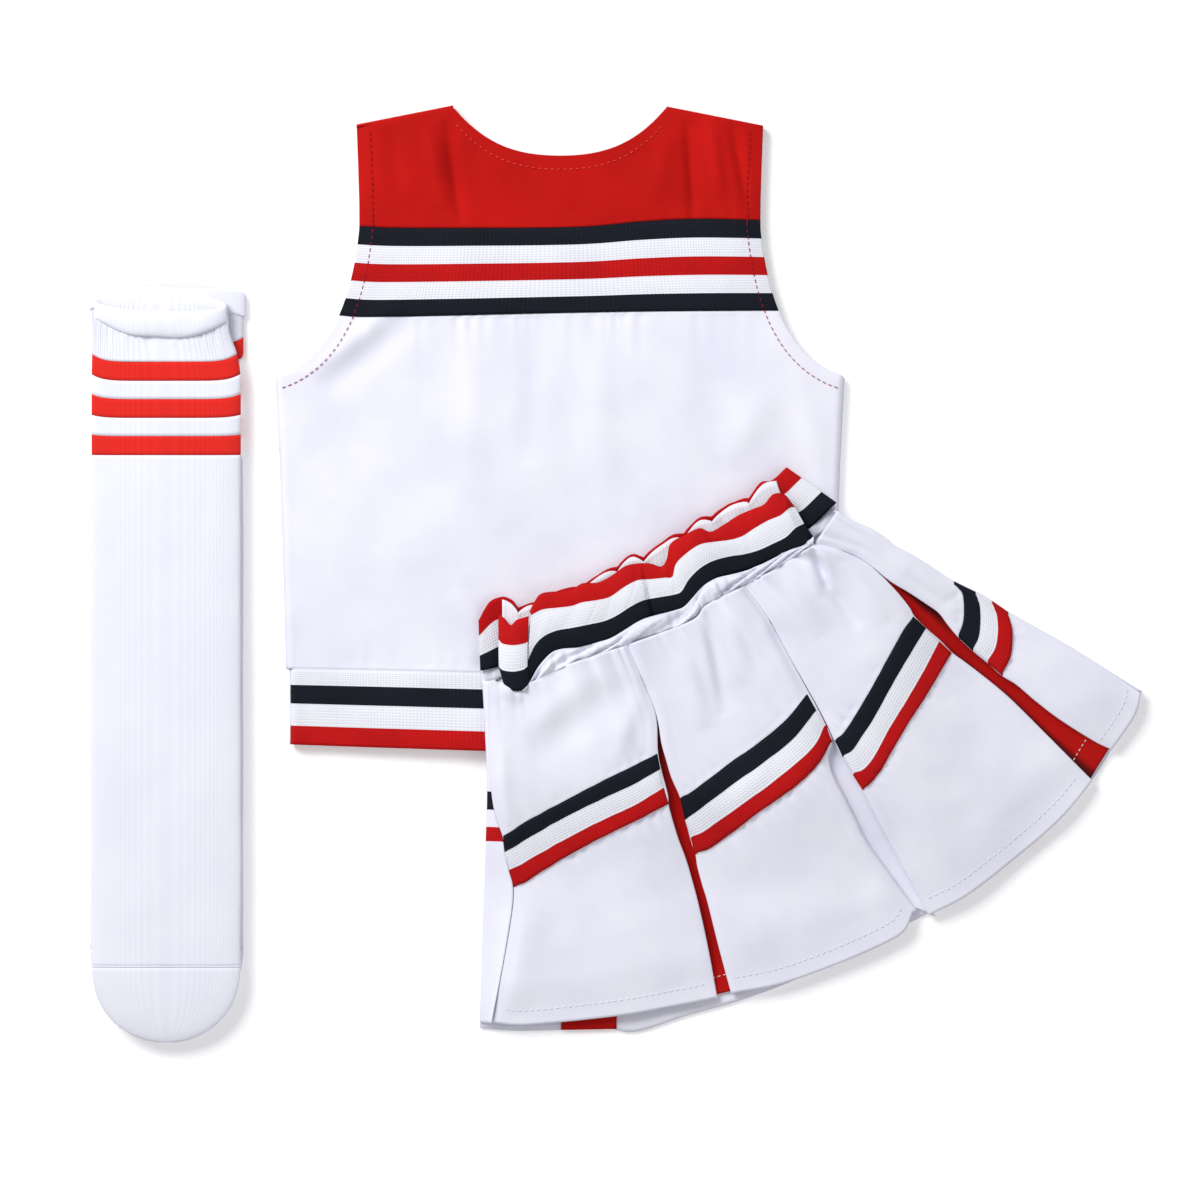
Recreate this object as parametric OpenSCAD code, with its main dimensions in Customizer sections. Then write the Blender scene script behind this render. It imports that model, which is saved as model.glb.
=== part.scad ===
// Child's cheer uniform laid out flat: a sleeveless top, a pleated skirt lying
// over it, and a pair of knee socks stacked beside it.
// +Z is up from the surface, +X is to the right, +Y is towards the neck.

/* [Cloth] */
// Thickness of one ply of cloth
ply = 1.2; // [1:0.1:1.4]
// Clear space between the front and the back of the top
loft = 6; // [5.6:0.1:6.6]
// Thickness of a turned-in facing
facing = 0.5; // [0.3:0.1:0.6]
// Width of a turned-in facing and of the sewn edge seams
facing_w = 8; // [6:0.5:9]
// Clearance between garments that lie on each other
clear = 0.3; // [0.3:0.1:0.6]
// Height that a line of stitches stands above the cloth
stitch_h = 0.4; // [0.2:0.1:0.5]
// Width of a line of stitches
stitch_w = 0.8; // [0.5:0.1:1]

/* [Top] */
// Place of the top's middle line across the layout
top_x = -30.5; // [-32:0.5:-29]
// Half of the width under the arms
chest_half = 156; // [152:1:158]
// Half of the width at the body's lower seam
waist_half = 150; // [149:1:152]
// Half of the width of the hem braid
hem_half = 148; // [146:1:149]
// Half of the width at the shoulders' outer ends
shoulder_half = 111.5; // [109:0.5:113]
// Half of the neck opening
neck_half = 58.5; // [56:0.5:60]
// Height of the shoulder at the neck
neck_y = 256.5; // [256.5:0.5:258]
// Height of the shoulder's outer end
shoulder_y = 246; // [244:1:248]
// Lowest point of the neck opening
neck_low = 230; // [228:1:232]
// Height of the underarm corner
underarm_y = 109; // [107:1:111]
// Lower edge of the chest braid
chest_braid_low = 142.5; // [140:0.5:145]
// Upper edge of the chest braid
chest_braid_up = 191.5; // [189:0.5:194]
// Lower edge of the hem braid
hem_braid_low = -97; // [-99:0.5:-96]
// Upper edge of the hem braid
hem_braid_up = -52; // [-54:0.5:-50]

/* [Skirt] */
// Thickness of the striped knit braid
braid = 0.6; // [0.4:0.1:0.8]
// Clear space between the front and the back of the skirt
skirt_loft = 6; // [5.8:0.1:6.4]
// Distance from the top's edge at which the skirt starts to drop
drop_start = 10; // [8:1:14]
// Distance over which the skirt drops to the surface
drop_run = 70; // [64:2:80]
// How far the waistband waves in and out
wave = 1.5; // [0:0.5:2.5]
// Number of waves in the waistband
waves = 5; // [3:1:7]

/* [Socks] */
// Width of a sock lying flat
sock_w = 82; // [80:1:84]
// Height of one sock lying flat
sock_h = 7; // [6.8:0.1:7.6]
// Thickness of the knitted leg
sock_wall = 0.8; // [0.6:0.1:0.9]
// Thickness of the doubled cuff
cuff_wall = 1.2; // [1:0.1:1.3]
// Left edge of the lower sock
sock_left = -289; // [-289:0.5:-288]
// How far the upper sock lies to the right of the lower one
upper_shift = 1.5; // [0:0.5:4]
// How much higher up the layout the lower sock lies
lower_rise = 9.5; // [8:0.5:11]
// Tip of the upper sock's toe
toe_y = -256.5; // [-256.5:0.5:-256]
// Edge of the upper sock's mouth
mouth_y = 151.5; // [149:0.5:153]
// Lower edge of the upper sock's ribbed cuff
cuff_low = 118; // [117:0.5:119]
// Height of one knitted stripe
stripe_h = 10.7; // [9:0.1:11]
// Distance from one stripe to the next
stripe_step = 20.9; // [20:0.1:22]

/* [Hidden] */

WHITE = "#EFEFFA";
RED = "#C81A14";
NAVY = "#1E2130";
SOCK_RED = "#E8342C";
DARK_RED = "#6E0B0A";

front_z = ply + loft;
top_h = front_z + ply;
far = 400;
seam_w = 2;
curve_n = 20;
// Shares of a curve that a facing or a line of stitches covers
neck_from = 0.12;
arm_facing_to = 0.9;
arm_stitch_to = 0.95;

// A point on the cubic curve with the four control points p
function bez(p, t) =
  pow(1 - t, 3) * p[0] + 3 * pow(1 - t, 2) * t * p[1]
  + 3 * (1 - t) * t * t * p[2] + t * t * t * p[3];
// The stretch of that curve from t0 to t1, in n steps
function rail(p, t0, t1, n) = [for (i = [0:n]) bez(p, t0 + (t1 - t0) * i / n)];
function back_to_front(list) = [for (i = [len(list) - 1:-1:0]) list[i]];
function mirrored(list) = [for (p = list) [-p.x, p.y]];
function moved(list, by) = [for (p = list) p + by];

// ---- the top ----

// Half of the neck opening, from the shoulder to the middle
neck_curve = [
  [neck_half, neck_y], [neck_half - 17, neck_low + 6],
  [neck_half * 0.41, neck_low], [0, neck_low]
];
// The armhole: nearly straight at the yoke, then round to the underarm
yoke_side = [shoulder_half - 1.5, 190];
arm_curve = [
  yoke_side, yoke_side + [4, -40],
  [chest_half - 30, underarm_y + 9], [chest_half, underarm_y]
];
half_neck = rail(neck_curve, 0, 1, curve_n);
half_arm = concat([[shoulder_half, shoulder_y]], rail(arm_curve, 0, 1, curve_n));
half_outline = concat(
  back_to_front(half_neck), half_arm,
  [[waist_half, hem_braid_up], [hem_half, hem_braid_up], [hem_half, hem_braid_low]]
);

module outline() {
  polygon(concat(half_outline, back_to_front(mirrored(half_outline))));
}
// One cut piece of the top between two heights, as a ply with its underside at z
module cut_piece(y_low, y_high, z) {
  translate([top_x, 0, z])
    linear_extrude(ply)
      intersection() {
        outline();
        translate([-far / 2, y_low]) square([far, y_high - y_low]);
      }
}
module at_side(side) {
  translate([top_x, 0, 0])
    if (side < 0) mirror([1, 0, 0]) children();
    else children();
}
// A flat strip between a line and the same line moved by a step
module strip(line, by) {
  polygon(concat(line, back_to_front(moved(line, by))));
}
module side_seam(side) {
  color(WHITE) at_side(side) translate([0, 0, ply]) linear_extrude(loft) {
    strip([[chest_half, underarm_y - 1], [waist_half, hem_braid_up]], [-seam_w, 0]);
    strip([[hem_half, hem_braid_up], [hem_half, hem_braid_low]], [-seam_w, 0]);
  }
}
module shoulder_seam(side) {
  color(RED) at_side(side) translate([0, 0, ply]) linear_extrude(loft)
    strip([[neck_half, neck_y], [shoulder_half, shoulder_y]], [0, -seam_w]);
}
// A facing lies against the inner face of each ply
module both_plies() {
  translate([0, 0, ply]) linear_extrude(facing) children();
  translate([0, 0, front_z - facing]) linear_extrude(facing) children();
}
module neck_facing() {
  line = rail(neck_curve, neck_from, 1, curve_n);
  color(RED) translate([top_x, 0, 0]) both_plies()
    strip(concat(line, back_to_front(mirrored(line))), [0, -facing_w]);
}
module armhole_facing(side) {
  color(WHITE) at_side(side) both_plies()
    strip(rail(arm_curve, 0, arm_facing_to, curve_n), [-facing_w, 0]);
}
module neck_topstitch() {
  line = rail(neck_curve, neck_from, 1, curve_n);
  color(RED) translate([top_x, 0, top_h]) linear_extrude(stitch_h)
    strip(moved(concat(line, back_to_front(mirrored(line))), [0, -facing_w]), [0, stitch_w]);
}
module armhole_topstitch(side) {
  line = concat([[shoulder_half, shoulder_y - seam_w]], rail(arm_curve, 0, arm_stitch_to, curve_n));
  color(DARK_RED) at_side(side) translate([0, 0, top_h]) linear_extrude(stitch_h)
    strip(moved(line, [-facing_w, 0]), [stitch_w, 0]);
}

// ---- the skirt ----

// Heights above the face that the skirt lies on, from the back ply to the front
skirt_ply = 1;
layer_gap = 0.3;
back_panel_h = braid + layer_gap;
back_face_h = back_panel_h + skirt_ply;
back_insert_h = back_face_h + layer_gap;
insert_h = back_face_h + skirt_loft;
panel_h = insert_h + skirt_ply + layer_gap;
trim_h = panel_h + skirt_ply + layer_gap;
band_ply = 1.4;
elastic_h = 0.8;
sewn_gap = 0.1;
band_front_h = insert_h + elastic_h + sewn_gap;

top_right = top_x + chest_half;
top_low = hem_braid_low;
rest_z = top_h + stitch_h + clear;

// Height of the face under the skirt: over the top, then down to the surface
function face_z(p) =
  let (gap = max(p.x - top_right, top_low - p.y),
       t = min(1, max(0, (gap - drop_start) / drop_run)))
  rest_z * (1 - t * t * (3 - 2 * t));

// Fold lines of the front pleats, from the waist seam to the hem
fold_1l = [[-68, -66], [-72, -125], [-44, -175], [-68, -245]];
fold_1r = [[8, -38], [30, -90], [30, -130], [56, -232]];
fold_2l = [[9, -37.6], [30, -80], [38, -135], [63, -230]];
fold_2r = [[74, -10], [100, -52], [135, -115], [170, -187]];
fold_3l = [[74.5, -9.8], [100.5, -51.5], [135.5, -114.5], [171, -186.5]];
fold_3r = [[113, 16], [160, -18], [200, -58], [262, -113]];
fold_4l = [[113.5, 16.5], [160, -10], [205, -50], [272, -96]];
fold_4r = [[122, 34], [160, 14], [225, -24], [289, -64]];
// Fold lines of the back pleats
fold_5l = [[-74, -53], [-68, -110], [-72, -180], [-74, -249]];
fold_5r = [[-4, -25], [-10, -90], [-30, -180], [-39, -249]];
fold_6l = [[-3, -24.6], [0, -90], [0, -180], [-3, -249]];
fold_6r = [[56, 2], [70, -60], [95, -140], [128, -207]];
fold_7l = [[57, 2.5], [72, -60], [100, -140], [138, -203]];
fold_7r = [[92, 18], [130, -30], [180, -90], [226, -148]];
fold_8l = [[93, 18.5], [133, -27], [186, -84], [234, -142]];
fold_8r = fold_4r;
// How far each panel's hem swells out
front_bulge = [2, 7, 5, 2.5];
back_bulge = [1, 6, 4, 4];
// Stretches of the left and the right fold line that each trim covers
front_trims = [
  [[0.47, 0.61], [0.4, 0.56]], [[0.55, 0.68], [0.37, 0.53]],
  [[0.52, 0.65], [0.37, 0.52]], [[0.52, 0.65], [0.46, 0.61]]
];
back_trims = [
  [[0.35, 0.49], [0.4, 0.54]], [[0.4, 0.54], [0.42, 0.56]],
  [[0.42, 0.56], [0.42, 0.56]], [[0.42, 0.56], [0.46, 0.61]]
];
// How far each insert tucks under the panels at its sides
front_tuck = [6, 8, 5];
back_tuck = 4;
side_w = 1.5;

// A sheet between two lines that run from the waist to the hem, left line first.
// It follows the face under it, from h0 to h1 above, and its hem swells by bulge.
module sheet(left, right, h0, h1, cols, bulge = 0) {
  rows = len(left) - 1;
  side = right[rows] - left[rows];
  out = [side.y, -side.x] / norm(side);
  flat = [for (j = [0:rows], i = [0:cols])
    let (u = i / cols, v = j / rows)
    left[j] * (1 - u) + right[j] * u + out * bulge * 4 * u * (1 - u) * v * v];
  count = len(flat);
  points = concat(
    [for (p = flat) [p.x, p.y, face_z(p) + h1]],
    [for (p = flat) [p.x, p.y, face_z(p) + h0]]
  );
  wide = cols + 1;
  quads = [for (j = [0:rows - 1], i = [0:cols - 1])
    let (a = j * wide + i) [a, a + 1, a + wide + 1, a + wide]];
  edge = concat(
    [for (i = [0:cols - 1]) [i, i + 1]],
    [for (j = [0:rows - 1]) [j * wide + cols, (j + 1) * wide + cols]],
    [for (i = [cols:-1:1]) [rows * wide + i, rows * wide + i - 1]],
    [for (j = [rows:-1:1]) [j * wide, (j - 1) * wide]]
  );
  polyhedron(points, concat(
    [for (q = quads) [q[0], q[1], q[2]]],
    [for (q = quads) [q[0], q[2], q[3]]],
    [for (q = quads) [q[2] + count, q[1] + count, q[0] + count]],
    [for (q = quads) [q[3] + count, q[2] + count, q[0] + count]],
    [for (e = edge) [e[1], e[0], e[0] + count]],
    [for (e = edge) [e[1], e[0] + count, e[1] + count]]
  ));
}
rows_n = 18;
cols_n = 8;
insert_cols = 4;
trim_rows = 4;
// Share of the fold line at which an insert starts
insert_from = 0.12;
module front_panel(l, r, bulge) {
  color(WHITE)
    sheet(rail(l, 0, 1, rows_n), rail(r, 0, 1, rows_n), panel_h, panel_h + skirt_ply,
      cols_n, bulge);
}
module back_panel(l, r, bulge) {
  color(WHITE)
    sheet(rail(l, 0, 1, rows_n), rail(r, 0, 1, rows_n), back_panel_h, back_face_h,
      cols_n, bulge);
}
// A striped trim crosses a panel between two stretches of its fold lines
module trim(l, r, on, h) {
  color(NAVY)
    sheet(rail(l, on[0][0], on[0][1], trim_rows), rail(r, on[1][0], on[1][1], trim_rows),
      h, h + braid, cols_n);
}
// An insert fills the gap between two panels and tucks under both
module insert(l, r, h, tuck) {
  under = [tuck, 0];
  color(RED)
    sheet(moved(rail(l, insert_from, 1, rows_n), -under), moved(rail(r, insert_from, 1, rows_n), under),
      h, h + skirt_ply, insert_cols);
}
module side_insert(line, by) {
  edge = rail(line, 0, 1, rows_n);
  color(WHITE)
    sheet(edge, moved(edge, by), back_insert_h, insert_h, 1);
}
// Waistband lines, waving between two ends
function wavy(from, to, n) =
  let (run = to - from, out = [-run.y, run.x] / norm(run))
  [for (i = [0:n]) from + run * i / n + out * wave * sin(360 * waves * i / n)];
band_n = 30;
front_band_up = wavy([-63, -24], [97, 42], band_n);
front_band_low = wavy([-60, -60], [107, 18], band_n);
back_band_up = wavy([-75, -16], [95, 58.5], band_n);
back_band_low = wavy([-75, -51], [119, 38], band_n);

// The rails of a band run across the skirt, so the lower one is the left one
module band(low, up, h0, h1) {
  sheet(low, up, h0, h1, 1);
}
module front_waistband() {
  color(NAVY) band(front_band_low, front_band_up, band_front_h, band_front_h + band_ply);
}
module back_waistband() {
  color(NAVY) band(back_band_low, back_band_up, 0, band_ply);
}
// The elastic lies against the inner face of the band, inset from its edges
elastic_inset = 0.15;
function inset_line(line, toward) = [for (i = [0:len(line) - 1])
  line[i] * (1 - elastic_inset) + toward[i] * elastic_inset];
module waist_elastic() {
  color("#E4E4EA") {
    band(inset_line(front_band_low, front_band_up), inset_line(front_band_up, front_band_low),
      insert_h, insert_h + elastic_h);
    band(inset_line(back_band_low, back_band_up), inset_line(back_band_up, back_band_low),
      band_ply + sewn_gap, band_ply + elastic_h);
  }
}
// Gathered cloth between the waistband and the heads of the pleats
front_heads = [fold_1l[0] + [5, 1.8], fold_2l[0], fold_3l[0], fold_4l[0]];
back_heads = [fold_5l[0], fold_6l[0], fold_7l[0], fold_8l[0], fold_8r[0]];
function spread(list, n) =
  let (x_first = list[0].x, x_last = list[len(list) - 1].x)
  [for (i = [0:n]) let (x = x_first + (x_last - x_first) * i / n) [x, lookup(x, list)]];
module gathers(heads, low, h0) {
  gap = [0.1, -0.4];
  color(WHITE)
    sheet(moved(spread(heads, band_n), -gap), moved(low, gap), h0, h0 + skirt_ply, 1);
}

// ---- the socks ----

// Height of the toe's round centre
toe_r = sock_w / 2;
toe_seam_w = 1.2;
toe_seam_h = 0.2;
leg_low = toe_y + toe_r;
lower_x = sock_left + toe_r;
upper_x = lower_x + upper_shift;
upper_z = sock_h + clear;

// Section of a flat tube: straight above and below, round at both sides
module tube_section(wall) {
  difference() {
    oval(sock_w, sock_h);
    oval(sock_w - 2 * wall, sock_h - 2 * wall);
  }
}
module oval(w, h) {
  square([w - h, h], center = true);
  translate([(w - h) / 2, 0]) circle(d = h, $fn = 48);
  translate([(h - w) / 2, 0]) circle(d = h, $fn = 48);
}
module tube(y_low, y_high, wall) {
  translate([0, y_low, sock_h / 2]) rotate([-90, 0, 0])
    linear_extrude(y_high - y_low) tube_section(wall);
}
module sock_leg() {
  stripes_low = cuff_low - 2 * stripe_step - stripe_h;
  color(WHITE) {
    tube(leg_low + toe_seam_w, stripes_low, sock_wall);
    for (i = [1, 2])
      tube(cuff_low - i * stripe_step, cuff_low - (i - 1) * stripe_step - stripe_h, sock_wall);
  }
}
module sock_stripes() {
  color(SOCK_RED)
    for (i = [0:2])
      tube(cuff_low - i * stripe_step - stripe_h, cuff_low - i * stripe_step, sock_wall);
}
module sock_cuff() {
  color(WHITE) tube(cuff_low, mouth_y, cuff_wall);
}
// The toe is the tube's section turned half round the middle of the foot
module sock_toe() {
  color(WHITE) translate([0, leg_low, sock_h / 2]) rotate([0, 0, 180])
    rotate_extrude(angle = 180, $fn = 96)
      intersection() {
        tube_section(sock_wall);
        translate([0, -sock_h]) square([sock_w, 2 * sock_h]);
      }
}
module sock_toe_seam() {
  color("#D9DAE6") tube(leg_low, leg_low + toe_seam_w, sock_wall + toe_seam_h);
}
module lower() { translate([lower_x, lower_rise, 0]) children(); }
module upper() { translate([upper_x, 0, upper_z]) children(); }

// ---- the nodes ----

module back_body() { color(WHITE) cut_piece(hem_braid_up, chest_braid_low, 0); }
module back_yoke() { color(RED) cut_piece(chest_braid_up, far, 0); }
module back_chest_braid() { color(NAVY) cut_piece(chest_braid_low, chest_braid_up, 0); }
module back_hem_braid() { color(NAVY) cut_piece(hem_braid_low, hem_braid_up, 0); }
module front_body() { color(WHITE) cut_piece(hem_braid_up, chest_braid_low, front_z); }
module front_yoke() { color(RED) cut_piece(chest_braid_up, far, front_z); }
module front_chest_braid() {
  color(NAVY) cut_piece(chest_braid_low, chest_braid_up, front_z);
}
module front_hem_braid() { color(NAVY) cut_piece(hem_braid_low, hem_braid_up, front_z); }

back_body();
back_yoke();
back_chest_braid();
back_hem_braid();
front_body();
front_yoke();
front_chest_braid();
front_hem_braid();
side_seam(-1);  // left_side_seam
side_seam(1);  // right_side_seam
shoulder_seam(-1);  // left_shoulder_seam
shoulder_seam(1);  // right_shoulder_seam
neck_facing();
armhole_facing(-1);  // left_armhole_facing
armhole_facing(1);  // right_armhole_facing
neck_topstitch();
armhole_topstitch(-1);  // left_armhole_topstitch
armhole_topstitch(1);  // right_armhole_topstitch
front_waistband();
back_waistband();
waist_elastic();
gathers(front_heads, front_band_low, panel_h);  // front_gathers
gathers(back_heads, back_band_low, back_panel_h);  // back_gathers
front_panel(fold_1l, fold_1r, front_bulge[0]);  // front_panel_1
front_panel(fold_2l, fold_2r, front_bulge[1]);  // front_panel_2
front_panel(fold_3l, fold_3r, front_bulge[2]);  // front_panel_3
front_panel(fold_4l, fold_4r, front_bulge[3]);  // front_panel_4
trim(fold_1l, fold_1r, front_trims[0], trim_h);  // front_trim_1
trim(fold_2l, fold_2r, front_trims[1], trim_h);  // front_trim_2
trim(fold_3l, fold_3r, front_trims[2], trim_h);  // front_trim_3
trim(fold_4l, fold_4r, front_trims[3], trim_h);  // front_trim_4
insert(fold_1r, fold_2l, insert_h, front_tuck[0]);  // front_insert_1
insert(fold_2r, fold_3l, insert_h, front_tuck[1]);  // front_insert_2
insert(fold_3r, fold_4l, insert_h, front_tuck[2]);  // front_insert_3
back_panel(fold_5l, fold_5r, back_bulge[0]);  // back_panel_1
back_panel(fold_6l, fold_6r, back_bulge[1]);  // back_panel_2
back_panel(fold_7l, fold_7r, back_bulge[2]);  // back_panel_3
back_panel(fold_8l, fold_8r, back_bulge[3]);  // back_panel_4
trim(fold_5l, fold_5r, back_trims[0], 0);  // back_trim_1
trim(fold_6l, fold_6r, back_trims[1], 0);  // back_trim_2
trim(fold_7l, fold_7r, back_trims[2], 0);  // back_trim_3
trim(fold_8l, fold_8r, back_trims[3], 0);  // back_trim_4
insert(fold_5r, fold_6l, back_insert_h, back_tuck);  // back_insert_1
insert(fold_6r, fold_7l, back_insert_h, back_tuck);  // back_insert_2
insert(fold_7r, fold_8l, back_insert_h, back_tuck);  // back_insert_3
side_insert(fold_1l, [side_w, 0]);  // left_side_insert
side_insert(moved(fold_4r, [-2, -1]), [side_w, 0]);  // right_side_insert
lower() sock_leg();  // lower_sock_leg
lower() sock_stripes();  // lower_sock_stripes
lower() sock_cuff();  // lower_sock_cuff
lower() sock_toe();  // lower_sock_toe
lower() sock_toe_seam();  // lower_sock_toe_seam
upper() sock_leg();  // upper_sock_leg
upper() sock_stripes();  // upper_sock_stripes
upper() sock_cuff();  // upper_sock_cuff
upper() sock_toe();  // upper_sock_toe
upper() sock_toe_seam();  // upper_sock_toe_seam
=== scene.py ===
"""Gives a packed child's cheer uniform, laid out flat, its cloth, knit, stitching and light."""

import math

import bmesh
import bpy
from mathutils import Matrix, Vector, noise


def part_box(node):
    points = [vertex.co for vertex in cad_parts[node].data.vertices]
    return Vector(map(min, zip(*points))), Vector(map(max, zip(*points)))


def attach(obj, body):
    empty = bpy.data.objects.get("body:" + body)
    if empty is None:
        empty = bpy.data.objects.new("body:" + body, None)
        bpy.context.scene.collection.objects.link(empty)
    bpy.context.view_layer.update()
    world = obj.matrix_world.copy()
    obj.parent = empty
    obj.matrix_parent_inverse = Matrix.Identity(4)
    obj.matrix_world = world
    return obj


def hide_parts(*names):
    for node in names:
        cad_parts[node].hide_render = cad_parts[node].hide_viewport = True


bl_info = {
    "name": "Cheer Uniform",
    "version": (1, 0, 0),
    "blender": (4, 5, 0),
    "location": "3D View > Sidebar > Cheer Uniform",
    "description": "Sleeveless top, pleated skirt and knee socks, laid out flat",
    "category": "Add Mesh",
}

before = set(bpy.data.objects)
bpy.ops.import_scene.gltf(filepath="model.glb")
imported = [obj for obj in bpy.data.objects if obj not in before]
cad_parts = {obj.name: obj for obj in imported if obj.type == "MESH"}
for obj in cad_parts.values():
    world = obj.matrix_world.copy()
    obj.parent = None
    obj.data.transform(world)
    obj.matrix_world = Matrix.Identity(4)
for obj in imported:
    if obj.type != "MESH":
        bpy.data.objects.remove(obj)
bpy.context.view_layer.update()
MM = 0.001


# ---- sizes taken from the frame, in millimetres ----


def node_box(name):
    """The lowest and highest corners of a node, in millimetres."""
    low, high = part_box(name)
    return low / MM, high / MM


BODY_LOW, BODY_HIGH = node_box("front_body")
TOP_X = (BODY_LOW.x + BODY_HIGH.x) / 2
CHEST_HALF = (BODY_HIGH.x - BODY_LOW.x) / 2
FRONT_Z = (BODY_LOW.z + BODY_HIGH.z) / 2
BACK_Z = node_box("back_body")[1].z / 2
TOP_MID_Z = (FRONT_Z + BACK_Z) / 2
TOP_RIGHT = BODY_HIGH.x
TOP_LOW = node_box("front_hem_braid")[0].y
SKIRT_Z = node_box("back_waistband")[0].z
NECK_Y = node_box("front_yoke")[1].y

# Heights of the skirt's layers above the face that it lies on
PANEL_H = 9.8
INSERT_H = 8.2
BAND_H = 9.6
BACK_PANEL_H = 1.7
BACK_INSERT_H = 2.6
# How far past the top the skirt's face starts to drop to the surface, and over what distance
DROP_START = 10.0
DROP_RUN = 70.0
# How far an insert goes on under the folds beside it
FRONT_TUCK = 4.5
BACK_TUCK = 3


# ---- lines and patches on the layout ----


def evenly(points, count):
    """count + 1 points at equal steps along a chain of points."""
    lengths = [0.0]
    for a, b in zip(points, points[1:]):
        lengths.append(lengths[-1] + (b - a).length)
    spaced, k = [], 0
    for i in range(count + 1):
        want = lengths[-1] * i / count
        while k < len(points) - 2 and lengths[k + 1] < want:
            k += 1
        gap = lengths[k + 1] - lengths[k]
        share = (want - lengths[k]) / gap if gap else 0.0
        spaced.append(points[k].lerp(points[k + 1], min(1.0, share)))
    return spaced


class Line:
    """A line on the layout. Called with 0 to 1 it gives the point at that share of its length."""

    STEPS = 240

    def __init__(self, *points, soft=True):
        ends = [Vector(p) for p in points]
        chain = self.through(ends) if soft and len(ends) > 2 else ends
        self.points = evenly(chain, self.STEPS)

    @staticmethod
    def through(ends, cuts=12):
        """A smooth chain of points through the given ones."""
        first, last = 2 * ends[0] - ends[1], 2 * ends[-1] - ends[-2]
        knots = [first, *ends, last]
        chain = [ends[0]]
        for a, b, c, d in zip(knots, knots[1:], knots[2:], knots[3:]):
            for i in range(1, cuts + 1):
                t = i / cuts
                square, cube = (2 * a - 5 * b + 4 * c - d) * t * t, (3 * b - a - 3 * c + d) * t**3
                chain.append(0.5 * (2 * b + (c - a) * t + square + cube))
        return chain

    def __call__(self, t):
        at = min(1.0, max(0.0, t)) * self.STEPS
        k = min(int(at), self.STEPS - 1)
        return self.points[k].lerp(self.points[k + 1], at - k)

    def share_at(self, point):
        """The share of the line's length at which it passes nearest to a point."""
        near = Vector(point)
        return min(range(self.STEPS + 1), key=lambda k: (self.points[k] - near).length) / self.STEPS

    def share_at_height(self, y):
        """The share at which a line that runs down the layout passes a height."""
        for k, (a, b) in enumerate(zip(self.points, self.points[1:])):
            if b.y <= y <= a.y and a.y > b.y:
                return (k + (a.y - y) / (a.y - b.y)) / self.STEPS
        return 0.0 if y > self.points[0].y else 1.0

    def length(self):
        return sum((b - a).length for a, b in zip(self.points, self.points[1:]))

    def part(self, start, end):
        return Line(*[self(start + (end - start) * i / 40) for i in range(41)], soft=False)

    def mirrored(self, x):
        return Line(*[Vector((2 * x - p.x, p.y)) for p in self.points[::4]], soft=False)


class Chain:
    """Lines joined end to end, each taking its own share of the range from 0 to 1."""

    def __init__(self, *parts):
        self.parts = parts

    def __call__(self, t):
        start = 0.0
        for line, share in self.parts:
            if t <= start + share or line is self.parts[-1][0]:
                return line((t - start) / share)
            start += share
        return None


def patch(top, bottom, left, right):
    """A place on cloth with those edges: u runs from left to right and v from top to bottom."""
    c00, c10, c01, c11 = top(0), top(1), bottom(0), bottom(1)

    def at(u, v):
        across = top(u) * (1 - v) + bottom(u) * v
        down = left(v) * (1 - u) + right(v) * u
        corners = (c00 * (1 - u) + c10 * u) * (1 - v) + (c01 * (1 - u) + c11 * u) * v
        return across + down - corners

    return at


def layers(lines):
    """A place between a stack of lines: u runs along them and v from the first to the last."""

    def at(u, v):
        k = min(len(lines) - 2, int(v * (len(lines) - 1) + 1e-9))
        return lines[k](u).lerp(lines[k + 1](u), v * (len(lines) - 1) - k)

    return at


def smooth(t):
    """Goes softly from 0 to 1 as t does."""
    t = min(1.0, max(0.0, t))
    return t * t * (3 - 2 * t)


def steps(count, start=0.0, end=1.0):
    return [start + (end - start) * i / count for i in range(count + 1)]


def edge_dense(count):
    """Steps from 0 to 1 that lie closer together near both ends."""
    return [t - 0.08 * math.sin(2 * math.pi * t) for t in steps(count)]


# ---- soft shapes in the cloth ----


def fold(start, end, height, width):
    """A soft ridge, or a groove if height is negative, that fades at both ends."""
    a, b = Vector(start), Vector(end)
    run = b - a
    reach = 3 * width

    def lift(p):
        t = (p - a).dot(run) / run.length_squared
        if not 0 < t < 1:
            return 0.0
        off = abs(run.x * (p.y - a.y) - run.y * (p.x - a.x)) / run.length
        if off > reach:
            return 0.0
        return height * math.sin(math.pi * t) ** 0.7 * math.exp(-((off / width) ** 2))

    return lift


def folds(x, *rows):
    """Folds, each given as x and y of its start and its end, its height and its width. The first
    value is what every x is measured from."""
    return [fold((x + a, b), (x + c, d), height, width) for a, b, c, d, height, width in rows]


def puckers(start, end, spacing, depth, reach, below=True):
    """Small waves that a seam gathers into the cloth on one side of it."""
    a, b = Vector(start), Vector(end)
    run = (b - a).normalized()
    span = (b - a).length
    side = -1 if below else 1

    def lift(p):
        along = (p - a).dot(run)
        away = side * (run.x * (p.y - a.y) - run.y * (p.x - a.x))
        if not (0 < along < span and -2 < away < 5 * reach):
            return 0.0
        uneven = noise.noise(Vector((along / 17, 3.1, a.y / 40)))
        strength = max(0.0, 0.55 + 0.9 * noise.noise(Vector((along / 31, 7.7, a.x / 40))))
        wave = 0.7 * math.cos(2 * math.pi * along / spacing + 5 * uneven) - 0.7
        near = smooth((away + 0.3) / 2.2) * math.exp(-max(0.0, away) / reach)
        return depth * strength * wave * near * smooth(along / 3) * smooth((span - along) / 3)

    return lift


def drift(size, height, seed):
    """A slow unevenness all over the cloth."""

    def lift(p):
        return height * noise.noise(Vector((p.x / size, p.y / size, seed)))

    return lift


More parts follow.
